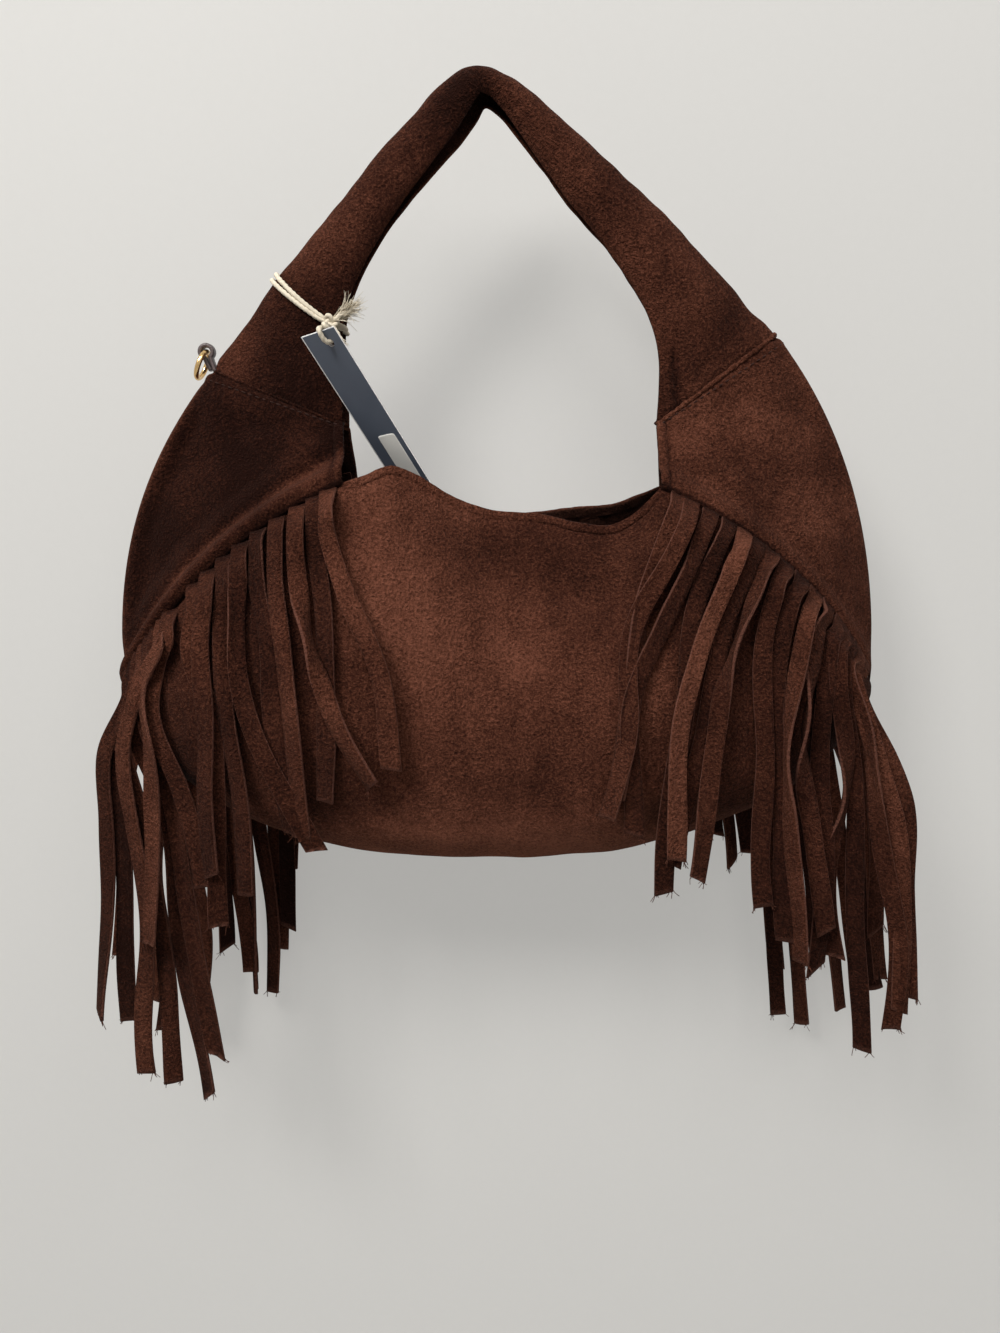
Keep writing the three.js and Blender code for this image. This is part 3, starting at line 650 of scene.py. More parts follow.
def backdrop_finish():
    """Pale painted board whose shadows are seen softened, clear from behind so that the bag can be
    seen from every side."""
    f = Finish("pale_backdrop")
    colour = f.blend(f.noise(f.place(), 240.0, 2.0), (0.60, 0.59, 0.565), (0.63, 0.62, 0.595))
    board = f.node("ShaderNodeBsdfPrincipled", {}, {"Base Color": colour, "Roughness": 0.6,
                                                    "Specular IOR Level": 0.25})
    glow = f.node("ShaderNodeEmission", {}, {"Color": (0.590, 0.582, 0.562, 1), "Strength": 1.0})
    board = f.node("ShaderNodeMixShader", {}, {0: f.seen() * 0.6, 1: board, 2: glow})
    clear = f.node("ShaderNodeBsdfTransparent")
    behind = f.node("ShaderNodeNewGeometry", out="Backfacing")
    shader = f.node("ShaderNodeMixShader", {}, {0: behind, 1: board, 2: clear})
    f.node("ShaderNodeOutputMaterial", {}, {"Surface": shader})
    return f.made


SUEDE_FINISH = suede_finish()
STITCH_FINISH = thread_finish("brown_thread", (0.012, 0.0045, 0.003), (0.040, 0.016, 0.011), 2500.0)
COTTON_FINISH = thread_finish("cream_cotton", (0.40, 0.34, 0.25), (0.72, 0.66, 0.54), 1600.0)
LEATHER_FINISH = leather_finish()
GOLD_FINISH = gold_finish()


def dress(piece, body, slot, *nodes):
    """The piece rides on a body and stands for the nodes, which are hidden. The slot is not used."""
    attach(piece, body)
    if nodes:
        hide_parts(*nodes)
    return piece


# ---- camera
EYE = np.array((2.859, -483.226, -163.267))
PITCH, ROLL = 11.0, 0.86
FOCAL, PICTURE_TALL, SENSOR = 1000.0, 1333.0, 36.0  # in pixels, pixels and millimetres
camera = bpy.data.objects.new("camera", bpy.data.cameras.new("camera"))
camera.data.sensor_width = SENSOR
camera.data.lens = SENSOR * FOCAL / PICTURE_TALL
camera.data.clip_start = 0.01
camera.matrix_world = (Matrix.Translation(EYE * MM) @ Matrix.Rotation(math.radians(90 - PITCH), 4, "X")
                       @ Matrix.Rotation(math.radians(-ROLL), 4, "Z"))
bpy.context.scene.collection.objects.link(camera)
bpy.context.scene.camera = camera


# ---- the tag's cord
CARD_TOP = np.array((-81.5, -24.0, -103.5))
CARD_DOWN = unit(np.array((32.0, 28.0, -57.0)))
CARD_ACROSS = unit(np.array((19.0, -16.0, 2.8)))
CARD_OUT = np.cross(CARD_ACROSS, CARD_DOWN)
CARD_OUT = CARD_OUT * (-1 if CARD_OUT[1] > 0 else 1)
CARD_HALF = 0.45  # half a card's thickness
HOLE = CARD_TOP + CARD_ACROSS * 14.5 + CARD_DOWN * 5.5 + CARD_OUT * CARD_HALF
SPREAD = CORD_PITCH * 0.01 / run_length(
    strap_surface(CORD_STATION + np.array((-0.01, 0.01)), np.zeros(2)))
KNOT = off_strap(np.array([CORD_STATION]), np.array([KNOT_TURN]), KNOT_RADIUS + CORD_CLEAR)[0]


def cord_route():
    """The cord's way: a tail into the knot, twice round the handle on a helix, back to the knot,
    down through the card's hole in a loop, up to the knot and out as a second tail."""
    turn = np.linspace(0.03, 0.97, 49)
    w = KNOT_TURN + 4 * turn
    tilt, spread = 0.0075 * (1 + np.cos(np.pi * w)), 1.3 + 0.5 * np.cos(np.pi * w)
    around = off_strap(CORD_STATION + tilt + SPREAD * (2 * turn - 1) * spread, (w + 1) % 2 - 1,
                       CORD_RADIUS + CORD_CLEAR)
    up = -CARD_DOWN
    front = [HOLE + up * a + CARD_OUT * b for a, b in ((7.0, 2.4), (3.0, 2.9), (0.7, 2.0))]
    behind = [HOLE + up * a - CARD_OUT * b for a, b in ((0.7, 2.0), (3.0, 2.9), (7.0, 1.6))]
    first_tail = ((8.0, -2.2, 4.6), (5.0, -2.4, 3.0), (2.2, -1.2, 1.2), (-0.6, 0.6, 0.2))
    last_tail = ((1.4, 1.2, -2.6), (-0.6, -1.4, -0.6), (2.2, -2.4, -3.6), (5.0, -3.0, -8.6))
    points = np.vstack([KNOT + first_tail, around, KNOT + (-1.2, -0.8, 0.8), KNOT + (1.0, -0.5, -3.0),
                        *front, HOLE, *behind, KNOT + last_tail])
    line = smooth_path(points, np.linspace(0, 1, 1600))
    return along_line(line, np.linspace(0, 1, 620))


def cord_piece():
    """Two plies twisted together: a circle whose radius swells twice a turn, the turn winding on
    along the cord, carried along the route."""
    line = cord_route()
    one, two = carried_frames(line[None], np.array([[0.3, 0.2, 1.0]]))
    angle = np.arange(14) * 2 * np.pi / 14
    wind = (run_along(line) * 2 * np.pi / 5.0)[:, None]
    radius = CORD_RADIUS * (0.84 + 0.30 * np.abs(np.cos(angle[None] - wind)) ** 0.8)
    rings = line[:, None] + radius[..., None] * (np.cos(angle)[:, None] * one[0][:, None]
                                                 + np.sin(angle)[:, None] * two[0][:, None])
    piece = put_mesh("tag_cord", *sections_mesh(rings[None]), finish=COTTON_FINISH)
    return piece, line


tag_cord, CORD_LINE = cord_piece()
dress(tag_cord, "bag", "cotton_string", "tag_string")


def knot_piece():
    """The knot: a trefoil, r = 2 + cos 3a round the middle and sin 3a up, as a thick twisted ply."""
    a = np.linspace(0, 2 * np.pi, 121)
    size = 1.05
    flat = np.stack([np.sin(a) + 2 * np.sin(2 * a), np.cos(a) - 2 * np.cos(2 * a),
                     -np.sin(3 * a) * 1.1], -1)
    axes = np.array(((0.85, 0.1, 0.5), (0.45, 0.2, -0.85), (-0.1, -0.95, 0.1)))
    line = KNOT + (flat * size) @ axes + np.array((0, -0.8, 0))
    rings = round_tubes(line[None], np.full((1, len(a)), CORD_RADIUS * 0.98), 10,
                        np.array([[0.1, -1.0, 0.2]]))
    return put_mesh("tag_knot", *sections_mesh(rings), finish=COTTON_FINISH)


def frayed_ends():
    """Loose cotton fibres: seeded lines that fan out from the ends of the two tails and curl."""
    rng = np.random.default_rng(11)
    count, t = 220, np.linspace(0, 1, 9)
    upper = rng.random(count) < 0.8
    back = rng.uniform(0, 1, count)[:, None]
    start = np.where(upper[:, None], mix(CORD_LINE[0], CORD_LINE[16], back), CORD_LINE[-4])
    start = start + rng.normal(size=(count, 3)) * 0.5
    way = np.where(upper[:, None], unit(CORD_LINE[0] - CORD_LINE[16]),
                   unit(CORD_LINE[-1] - CORD_LINE[-14]))
    reach = np.where(upper, rng.uniform(4.0, 10.5, count), rng.uniform(2.0, 5.0, count))
    reach = reach[:, None, None]
    fan = unit(way + rng.normal(size=(count, 3)) * 0.30)[:, None]
    curl = rng.normal(size=(count, 1, 3)) * 1.6
    lines = start[:, None] + fan * reach * t[:, None] + curl * (t[:, None] ** 2) * reach / 9
    thin = np.broadcast_to(0.22 * (1 - 0.7 * t), (count, 9))
    rings = round_tubes(lines, thin, 4, np.broadcast_to(np.array((0.2, -1.0, 0.3)), (count, 3)))
    return put_mesh("tag_cord_fray", *sections_mesh(rings), finish=COTTON_FINISH)


tag_knot, tag_fray = knot_piece(), frayed_ends()
for piece in (tag_knot, tag_fray):
    dress(piece, "bag", "cotton_string")
tuple(KNOT * MM)


# ---- the suede panels
def body_panel():
    """The body: half sections over the belly at cosine-spaced x, front edge to keel to back edge,
    swollen softly along the normals, with a doubled hem along the mouth, a turned seam edge, and
    tips that close on a few shrinking rows."""
    u = 0.5 - 0.5 * np.cos(np.pi * np.linspace(0.012, 0.988, 230))
    x = mix(LEFT["tip"][0] + 1, RIGHT["tip"][0] - 1, u)[:, None]
    close = np.array([0.3, 0.9, 1.5, 2.1, 2.7, 3.3, 3.7, 4.1, 4.5, 4.9, 5.5, 6.5, 8.0, 10.0])
    halves, downs = [], []
    for side in (FRONT, BACK):
        y0, z0 = belly_section(side, x, np.zeros((1, 1)))
        y1, z1 = belly_section(side, x, np.full((1, 1), 0.02))
        slope = np.hypot(y1 - y0, z1 - z0) / 0.02
        near = close / np.maximum(slope, close[-1] * 4)
        t = np.concatenate([near, mix(near[:, -1:], 1, np.linspace(0, 1, 62)[1:])], 1)
        y, z = belly_section(side, x, t)
        halves.append(np.stack([np.broadcast_to(x, y.shape), y, z], -1))
        downs.append(np.broadcast_to(np.concatenate([close, np.linspace(12, 170, 61)]), y.shape))
    grid = np.concatenate([halves[0], halves[1][:, -2::-1]], 1)
    down = np.concatenate([downs[0], downs[1][:, -2::-1]], 1)
    face = np.concatenate([np.full(halves[0].shape[:2], FRONT),
                           np.full(halves[1][:, 1:].shape[:2], BACK)], 1)
    shrink = ((0.85, 0.5), (0.5, 0.9), (0.06, 1.1))
    for end in (0, -1):
        middle = grid[end].mean(0, keepdims=True)
        caps = [middle + (grid[end] - middle) * k + (np.sign(middle[0, 0]) * reach, 0, 0)
                for k, reach in shrink]
        grid = np.concatenate([caps[::-1], grid] if end == 0 else [grid, caps], 0)
    down, face = [np.pad(value, ((len(shrink), len(shrink)), (0, 0)), mode="edge")
                  for value in (down, face)]
    if (normals_of(grid) * (grid - np.array((0, 0, -270)))).sum(-1).mean() < 0:
        grid, down, face = grid[::-1], down[::-1], face[::-1]
    normal = normals_of(grid)
    gx, gz, front = grid[..., 0], grid[..., 2], face == FRONT
    fade = ease(down, 4, 30)
    out = np.where(front, swell(FRONT, gx, gz), swell(BACK, gx, gz)) * fade
    out = out * mix(1.0, 0.5, ease(down, 130, 170))
    calm = fade * mix(1.0, 0.15, ease(down, 120, 165))
    out = out + calm * (ripple(grid, 3, 46) * 0.8 + ripple(grid, 4, 17) * 0.25)
    left, right = LEFT["corner"][0], RIGHT["corner"][0]
    mouth = ease(gx, left - 4, left + 6) * ease(-gx, -right - 4, -right + 6)
    hem = mouth * (1 - ease(down, 3.2, 4.4))
    line = mouth * ease(np.where(front, gx, 60), -10, 40)
    pucker = ripple(grid * (1, 1, 0.3), 6, 7.0)
    out = out + hem * (0.3 + 0.2 * pucker) - line * 0.5 * hump(down, 4.3, 0.8) * (0.8 + 0.6 * pucker)
    seam = (1 - mouth) * (1 - ease(down, 0, 5))
    out = (out - seam * 0.5) * ease(REACH - np.abs(gx - MIDDLE), 0.9, 4.0)
    # Painted shade and painted light on the body: darker under the mouth, lighter on the left and lower
    # middle of the front, much lighter at the bottom as painted bounce light, darker under the fringes and
    # in the crease below the hem. The ripple is a random tone.
    nap = np.where(front, -0.20 * hump(gx, 26, 60) * hump(gz, -200, 22)
                   + 0.26 * hump(gx, -32, 34) * hump(gz, -210, 48)
                   + 0.11 * hump(gx, 14, 60) * hump(gz, -268, 34) + 0.32 * ease(-gz, 300, 340), 0.0)
    nap = nap - 0.22 * ease(np.abs(gx - MIDDLE), 62, 88)
    nap = nap + 0.05 * ripple(grid, 8, 60) - 0.06 * line * hump(down, 4.3, 1.0)
    return thick_sheet("suede_body", grid + normal * out[..., None], SUEDE + HEM_FOLD * hem,
                       {"nap": nap}, SUEDE_FINISH)


def steps_across(grid):
    """How far each point of a grid lies from the nearer end of its row, along the row."""
    step = np.linalg.norm(np.diff(grid, axis=1, prepend=grid[:, :1]), axis=-1)
    back = np.linalg.norm(np.diff(grid, axis=1, append=grid[:, -1:]), axis=-1)[:, ::-1]
    return np.minimum(np.cumsum(step, 1), np.cumsum(back, 1)[:, ::-1])


def yoke_panel(name, side, roll, sink, shaded_tone, shaded):
    """A yoke: folds between seam and strap, with a rolled lower edge over the strands, a hollow above it,
    a doubled and puckered inner hem, and both seams turned in. Painted shade darkens its front by
    shaded_tone and towards its outer fold, the groove beside its hem and the seam's edge; a shaded
    yoke also has painted shade on its roll and by its inner hem, and a painted highlight on its rim."""
    s = spans((0.004, 0.12, 18), (0.12, 0.94, 60), (0.94, 0.995, 10))
    w = spans((-1, -0.9, 14), (-0.9, 0.9, 90), (0.9, 1, 14))
    grid = yoke_surface(side, *np.meshgrid(s, w, indexing="ij"))
    grid, w, normal = face_out(grid, grid.mean((0, 1)), w)
    up = np.cumsum(np.linalg.norm(np.diff(grid, axis=0, prepend=grid[:1]), axis=-1), 0)
    top, inner = up[-1:] - up, steps_across(grid)
    wide, front = np.abs(w)[None] + 0 * up, ease(-w, 0.02, 0.2)[None] + 0 * up
    body = ease(wide, 0.06, 0.3) * (1 - ease(wide, 0.93, 1.0))
    out = (0.5 + 0.5 * body) * (0.4 + 0.6 * front) * roll * (hump(up, 6.5, 5.5) - 0.75 * hump(up, 17, 6.5))
    out = out - sink * front * body * ease(up, 14, 40) * ease(top, 6, 40)
    creases = ripple(grid, 21, 40) * 0.9 + ripple(grid, 22, 15) * 0.25
    out = out + creases * ease(up, 8, 30) * ease(top, 3, 20) * body
    out = out - 1.1 * np.maximum(ripple(grid * (0.5, 1, 1.3), 27, 26), 0) * hump(top, 20, 16) * body
    out = out + 0.35 * ripple(grid, 28, 7.0) * hump(top, 4, 5)
    pucker = ripple(grid * (0.4, 0.4, 1), 24, 6.0)
    out = out + (1 - ease(inner, 2.6, 4.0)) * (0.5 + 0.35 * pucker)
    out = out - 1.1 * hump(inner, 4.2, 0.9) * (0.8 + 0.4 * pucker)
    out = out + 1.3 * (1 - ease(up, 4, 12)) * ease(wide, 0.05, 0.3) - 0.9 * (1 - ease(top, 0.5, 3))
    # Painted shade: the front above the roll darkens by shaded_tone and more towards the outer fold, and
    # the groove beside the hem is darkened. The ripple is a random tone.
    nap = (shaded_tone - 0.08 * (1 - ease(wide, 0.2, 0.6))) * front * ease(up, 12, 26)
    nap = nap + 0.05 * ripple(grid, 26, 45) - 0.22 * hump(inner, 4.2, 1.3)
    # A shaded yoke: painted shade on its roll and near its inner edge, and a painted highlight along its
    # outer rim.
    if shaded:
        nap = nap - 0.28 * front * (1 - ease(inner, 3, 16)) * ease(up, 8, 20)
        nap = nap - 0.18 * front * (1 - ease(up, 10, 16)) + 0.08 * (1 - ease(wide, 0.05, 0.25))
    # Painted shade along the seam's edge above the strands' roots.
    nap = nap - 0.40 * (1 - ease(up, 0, 2.2)) * ease(-w, 0.0, 0.06)[None]
    thick = SUEDE + HEM_FOLD * (1 - ease(inner, 2.8, 4.2))
    grid, nap, thick = turn_ends_under(grid + normal * out[..., None], (1.5, 2.5), (0.9, 1.8), nap, thick)
    thick[:3], thick[-3:] = 1.0, 1.0
    return thick_sheet(name, grid, thick, {"nap": nap}, SUEDE_FINISH)


def strap_panel():
    """The handle: folds along two paths, creased softly along its length, creased across at the top bend,
    with turned ends and a shallow groove beside the right inner edge. Painted shade darkens the top
    bend, the inner half of the left end, the groove and a band by the right seam, and a painted
    highlight lies near the right inner edge."""
    s = spans((0.003, 0.05, 16), (0.05, 0.95, 210), (0.95, 0.997, 16))
    w = spans((-1, -0.86, 12), (-0.86, 0.86, 66), (0.86, 1, 12))
    grid, w, normal = face_out(strap_surface(*np.meshgrid(s, w, indexing="ij")),
                               strap_middle(s)[:, None], w)
    ss, ww = np.meshgrid(s, w, indexing="ij")
    far = np.minimum(ss, 1 - ss)
    cord = 1 - 0.9 * hump(ss, CORD_STATION, 0.02)
    out = (ripple(grid, 31, 38) * 0.35 + ripple(grid, 32, 13) * 0.18) * ease(far, 0.0, 0.03) * cord
    flap = ease(ss, 0.89, 0.94) * (ww < 0)
    out = out - 1.5 * hump(-ww, 0.885, 0.03) * flap + 0.7 * hump(-ww, 0.80, 0.04) * flap
    out = out - 0.8 * (1 - ease(far, 0.0, 0.012))
    out = out - 1.0 * np.maximum(ripple(grid * (1.2, 1, 0.6), 33, 22), 0) * hump(far, 0.07, 0.05) * cord
    out = out + 0.3 * ripple(grid, 34, 7.0) * hump(far, 0.01, 0.015)
    crease = hump(ss + 0.02 * ww, 0.47, 0.008) - 0.6 * hump(ss + 0.02 * ww, 0.49, 0.012)
    out = out - 0.9 * crease * ease(-ww, 0.12, 0.4)
    # Painted shade at the top bend, on the left end's inner half, in the groove and by the right seam; a
    # painted highlight near the right inner edge. The ripple is a random tone.
    nap = 0.05 * ripple(grid, 36, 40) - 0.46 * hump(ss, 0.45, 0.11) * ease(-ww, 0.08, 0.6)
    nap = nap - 0.32 * ease(-ww, 0.2, 0.75) * (1 - ease(ss, 0.10, 0.24)) - 0.06
    nap = nap - 0.34 * hump(-ww, 0.89, 0.03) * flap - 0.12 * flap * ease(-ww, 0.88, 0.93)
    nap = nap - 0.14 * hump(ss + 0.03 * ww, 0.925, 0.03) * ease(-ww, 0.1, 0.4)
    nap = nap + 0.10 * hump(ss, 0.87, 0.02) * ease(-ww, 0.6, 0.9)
    grid, nap = turn_ends_under(grid + normal * out[..., None], (0.9, 1.8), (0.9, 1.8), nap)
    return thick_sheet("handle_strap", grid, SUEDE, {"nap": nap}, SUEDE_FINISH)


suede_body = dress(body_panel(), "bag", "suede", "body")
# Painted shade: the left yoke's front is set much darker than the right one's.
left_yoke = dress(yoke_panel("left_yoke_panel", LEFT, roll=4.2, sink=5.5, shaded_tone=-0.40, shaded=True),
                  "bag", "suede", "left_yoke")
right_yoke = dress(yoke_panel("right_yoke_panel", RIGHT, roll=0.8, sink=0.8, shaded_tone=-0.01, shaded=False),
                   "bag", "suede", "right_yoke")
handle_strap = dress(strap_panel(), "bag", "suede", "handle")


# ---- the fringes
ROOT_STEP, LAST_ROOT = 0.033, 0.87  # least step and last place of the roots, in shares of the seam
# A strand's section: half width and half thickness shares, round once.
RIBBON = np.array([(-1, 0), (-1, 0.6), (-0.94, 1), (-0.5, 1), (0, 1), (0.5, 1), (0.94, 1), (1, 0.6),
                   (1, 0), (1, -0.6), (0.94, -1), (0.5, -1), (0, -1), (-0.5, -1), (-0.94, -1), (-1, -0.6)])


def root_shares(seam, strands, slip, even):
    """Where the strands leave the seam, as shares of its length: over each strand's first point,
    slipped towards the tip, mixed with even steps, in order and at least a short step apart."""
    run = run_along(seam)
    first, out = np.array([way[0] for _, *way in strands], float), np.sign(seam[-1, 0])
    over = np.interp(first[:, 0] * out + slip, seam[:, 0] * out, run / run[-1])
    step = np.arange(len(strands))
    share = np.maximum(mix(over, mix(0.012, 0.9, (step + 0.5) / len(strands)), even), 0.03)
    share = np.maximum.accumulate(share - ROOT_STEP * step) + ROOT_STEP * step
    return np.minimum(share, LAST_ROOT - ROOT_STEP * step[::-1])


def loose_fibres(tips, rng):
    """Short fibres at the cut ends of some strands, thickest at the corners: seeded lines that fan
    out along the strand and curl by the square of the way, as thin tubes. A tip is its middle, the
    strand's way, half its width along the cut, and its outward way."""
    which = np.repeat(np.flatnonzero(rng.random(len(tips)) < 0.75), 9)
    share = rng.choice((-1, 1), (len(which), 1)) * rng.uniform(0.3, 1.0, (len(which), 1)) ** 0.4
    middle, along, edge, out = [tips[which, k] for k in range(4)]
    t, reach = np.linspace(0, 1, 5)[:, None], rng.uniform(1.2, 4.2, (len(which), 1, 1))
    fan = unit(along + unit(edge) * share * 0.3 + rng.normal(size=(len(which), 3)) * 0.35)[:, None]
    bend = rng.normal(size=(len(which), 1, 3)) * 0.9
    lines = (middle + edge * share * 0.97 - along * 0.7)[:, None] + fan * reach * t + bend * t**2
    return sections_mesh(round_tubes(lines, np.full(lines.shape[:2], 0.16), 4, out))


def fringe(name, side, face, strands, seed, arch, curl, turn, fall, slip, even, skip):
    """Strands cut from one strip: each a ribbon carried along a path that comes up out of the seam,
    folds over and hangs across the belly and down. It lies off the belly by its layer, leans on
    its neighbour like a shingle, twists and cups by seeded amounts, and ends in a slanting cut.
    arch is how high it stands over the seam, curl how much it rolls there, turn where it turns
    from the seam's way to its own, and fall how straight down it leaves. slip and even place the
    roots, and skip is how many first points it passes over."""
    rng = np.random.default_rng(seed)
    rings, edges, tone_and_shading_rows, tips = [], [], [], []
    seam = seam_line(side, face, np.linspace(0, 1, 400))
    count, steps, half = len(strands), 96, STRAND_WIDTH / 2
    shares = root_shares(seam, strands, slip, even)
    pitches = np.clip(np.gradient(shares) * run_length(seam), 5.0, 9.5)
    lean = 0.16 * np.sign(side["tip"][0]) * -face
    for i, (lift, *way) in enumerate(strands):
        root, ahead = along_line(seam, shares[i] + np.array((0, 0.006)))
        seam_way = unit(ahead - root)
        square = np.array((seam_way[2], -seam_way[0]))
        square = unit(mix(unit(square if square[1] < 0 else -square), np.array((0, -1)), fall))
        stand = 2.2 + lift * LAYER + 0.15 * (i % 3)
        calm = 1 - 0.9 * ease(shares[i], 0.74, 0.86)
        rise = arch * rng.uniform(0.35, 1.4) * calm
        deep, sunk = mix(np.array((6.5, 4.4)), np.array((2.5, 7.0)), ease(shares[i], 0.45, 0.82))
        fold = [(-deep, -sunk), (-deep / 2, -0.8 * sunk), (-0.8, -1.6), (1.6, 0.9 + 0.2 * rise),
                (5.0, 2.4 + 0.8 * rise), (11.0, max(stand, 2.8) + rise)]
        far = rng.uniform(0, 3)
        points = [(root[0] + d * square[0], h, root[2] + d * square[1]) for d, h in fold]
        way = way[skip:]
        loose = np.minimum(np.arange(len(way)) + skip, 2) * (1.4 if i < 10 else 0.5)
        stray = rng.normal(size=len(way)) * loose
        points += [(x + stray[k], stand + far * k / len(way), z) for k, (x, z) in enumerate(way)]
        line = along_line(smooth_path(points, np.linspace(0, 1, 900)), np.linspace(0, 1, steps) ** 1.35)
        run = run_along(line)
        end = run[-1]
        twist = (lean + rng.normal() * 0.55 * hump(run, end * rng.uniform(0.25, 0.55), end * 0.15)
                 + rng.normal() * 0.38 * ease(run, end * 0.55, end)
                 + rng.normal() * 0.26 * ease(run, 14, 40)
                 + (lean * 1.6 + rng.normal() * 0.45) * curl * calm * hump(run, 21, 9))
        twist = twist * ease(run, 5, 14)
        cup = ((rng.normal() * 0.7 + 0.2) * ease(run, 12, 36)
               + rng.uniform(-0.4, 1.9) * curl * calm * hump(run, 16, 9))
        sway, phase, _ = rng.normal(size=3)
        line[:, 0] += sway * 1.5 * np.sin(run / 21 + phase * 3) * ease(run, 24, 60)
        under = np.max([belly_depth(face, line[:, 0] + e * half, line[:, 2]) for e in (-1, 0, 1)], 0)
        depth = np.maximum.accumulate(np.maximum(under, abs(root[1])))
        depth = np.convolve(np.pad(depth, 4, mode="edge"), np.ones(9) / 9, "valid")
        off = line[:, 1] + np.abs(np.sin(twist)) * half * 0.75
        points = np.stack([line[:, 0], face * (depth + off), line[:, 2]], -1)
        along = unit(np.gradient(points, axis=0))
        hang = unit(np.cross(unit(np.gradient(line, axis=0)) * (1, 0, 1), np.array((0.0, 1.0, 0.0))))
        hang = hang * np.sign(hang[50] @ seam_way)
        across = unit(mix(seam_way[None], hang, ease(run, *turn)[:, None]))
        across = unit(across - (across * along).sum(-1, keepdims=True) * along)
        out = np.cross(across, along)
        out = out * np.sign(out[60, 1] * face)
        c, s = np.cos(twist)[:, None], np.sin(twist)[:, None]
        across, out = across * c + out * s, out * c - across * s
        wide = half * (1 + 0.04 * np.sin(run / 9 + i)) * mix(0.96, 1.12, run / end)
        wide = mix(pitches[i] * 0.53, wide, ease(run, turn[0], turn[1] + 2))
        slant = (rng.normal() * 0.16 + rng.choice((-0.1, 0.1))) * STRAND_WIDTH
        px = RIBBON[:, 0] * wide[:, None]
        py = RIBBON[:, 1] * STRAND_THICK / 2 + cup[:, None] * (RIBBON[:, 0] ** 2 - 0.4)
        cut = slant * RIBBON[:, 0] * ease(run, end - 9, end)[:, None]
        rings.append(points[:, None] + across[:, None] * px[..., None] + out[:, None] * py[..., None]
                     + along[:, None] * cut[..., None])
        tips.append((points[-1], along[-1], across[-1] * wide[-1] + along[-1] * slant, out[-1]))
        edges.append(np.maximum(ease(np.abs(RIBBON[:, 0]), 0.95, 1.0), ease(run, end - 0.8, end)[:, None]))
        # Painted shade: lower layers and the first millimetres past the roots are darker, upper layers
        # lighter; strands also darken towards the bottom, about a random tone for each.
        shade = (rng.normal() * 0.085 - 0.11 - 0.08 * ease(-line[:, 2], 290, 380) + 0.17 * (lift - 1.1)
                 - 0.40 * (1 - ease(run, deep, deep + 6)))
        tone_and_shading_rows.append(np.repeat(shade, len(RIBBON)))
    points, quads, tris = sections_mesh(np.array(rings))
    ways = np.cross(points[quads[:, 1]], points[quads[:, 2]])
    if (points[quads[:, 0]] * ways).sum() < 0:
        quads, tris = quads[:, ::-1], tris[:, ::-1]
    more, more_quads, more_tris = loose_fibres(np.array(tips), rng)
    ends, loose = np.ones(2 * count), np.full(len(more), 0.5)
    return put_mesh(name, np.vstack([points, more]), np.vstack([quads, more_quads + len(points)]),
                    np.vstack([tris, more_tris + len(points)]),
                    {"edge": np.concatenate([np.ravel(edges), ends, loose]),
                     "nap": np.concatenate([np.ravel(tone_and_shading_rows), 0 * ends, 0 * loose])}, SUEDE_FINISH)


FRONT_HABITS = {
    "front_left": dict(arch=2.4, curl=0.6, turn=(1, 7), fall=0.8, slip=1.5, even=0.15, skip=0),
    "front_right": dict(arch=4.4, curl=1.0, turn=(2, 10), fall=-0.1, slip=9.0, even=0.3, skip=1),
}
BACK_HABIT = dict(arch=2.5, curl=0.6, turn=(2, 10), fall=0.5, slip=0.0, even=1.0, skip=0)
FIRST_SEED = 50
for number, (place, strands) in enumerate(STRANDS.items()):
    piece = fringe(place + "_strands", LEFT if place.endswith("left") else RIGHT,
                   FRONT if place.startswith("front") else BACK, strands, FIRST_SEED + number,
                   **FRONT_HABITS.get(place, BACK_HABIT))
    dress(piece, "bag", "suede", place + "_fringe")


# ---- ring, tab and tag
def ring_piece():
    """A torus that hangs by its top from the hinge, leaning out."""
    a = np.linspace(0, 2 * np.pi, 97)[:-1]
    b = np.linspace(0, 2 * np.pi, 25)[:-1]
    reach = RING_RADIUS + RING_WIRE * np.cos(b)
    y = np.sin(a)[:, None] * reach
    z = np.cos(a)[:, None] * reach - RING_RADIUS
    x = RING_WIRE * np.sin(b) + 0 * y
    c, s = math.cos(RING_LEAN), math.sin(RING_LEAN)
    points = HINGE + np.stack([x * c + z * s, y, z * c - x * s], -1)
    index = np.arange(points[..., 0].size).reshape(points.shape[:2])
    index = np.pad(index, ((0, 1), (0, 1)), mode="wrap")
    return put_mesh("gold_ring", points, grid_quads(index), finish=GOLD_FINISH)


TAB_HALF, TAB_THIN = 2.5, 1.0  # half width and half thickness of the tab's leather
TAB_LOOP, TAB_LEG = 2.9, 9.0  # its loop's radius, and how far its legs reach down


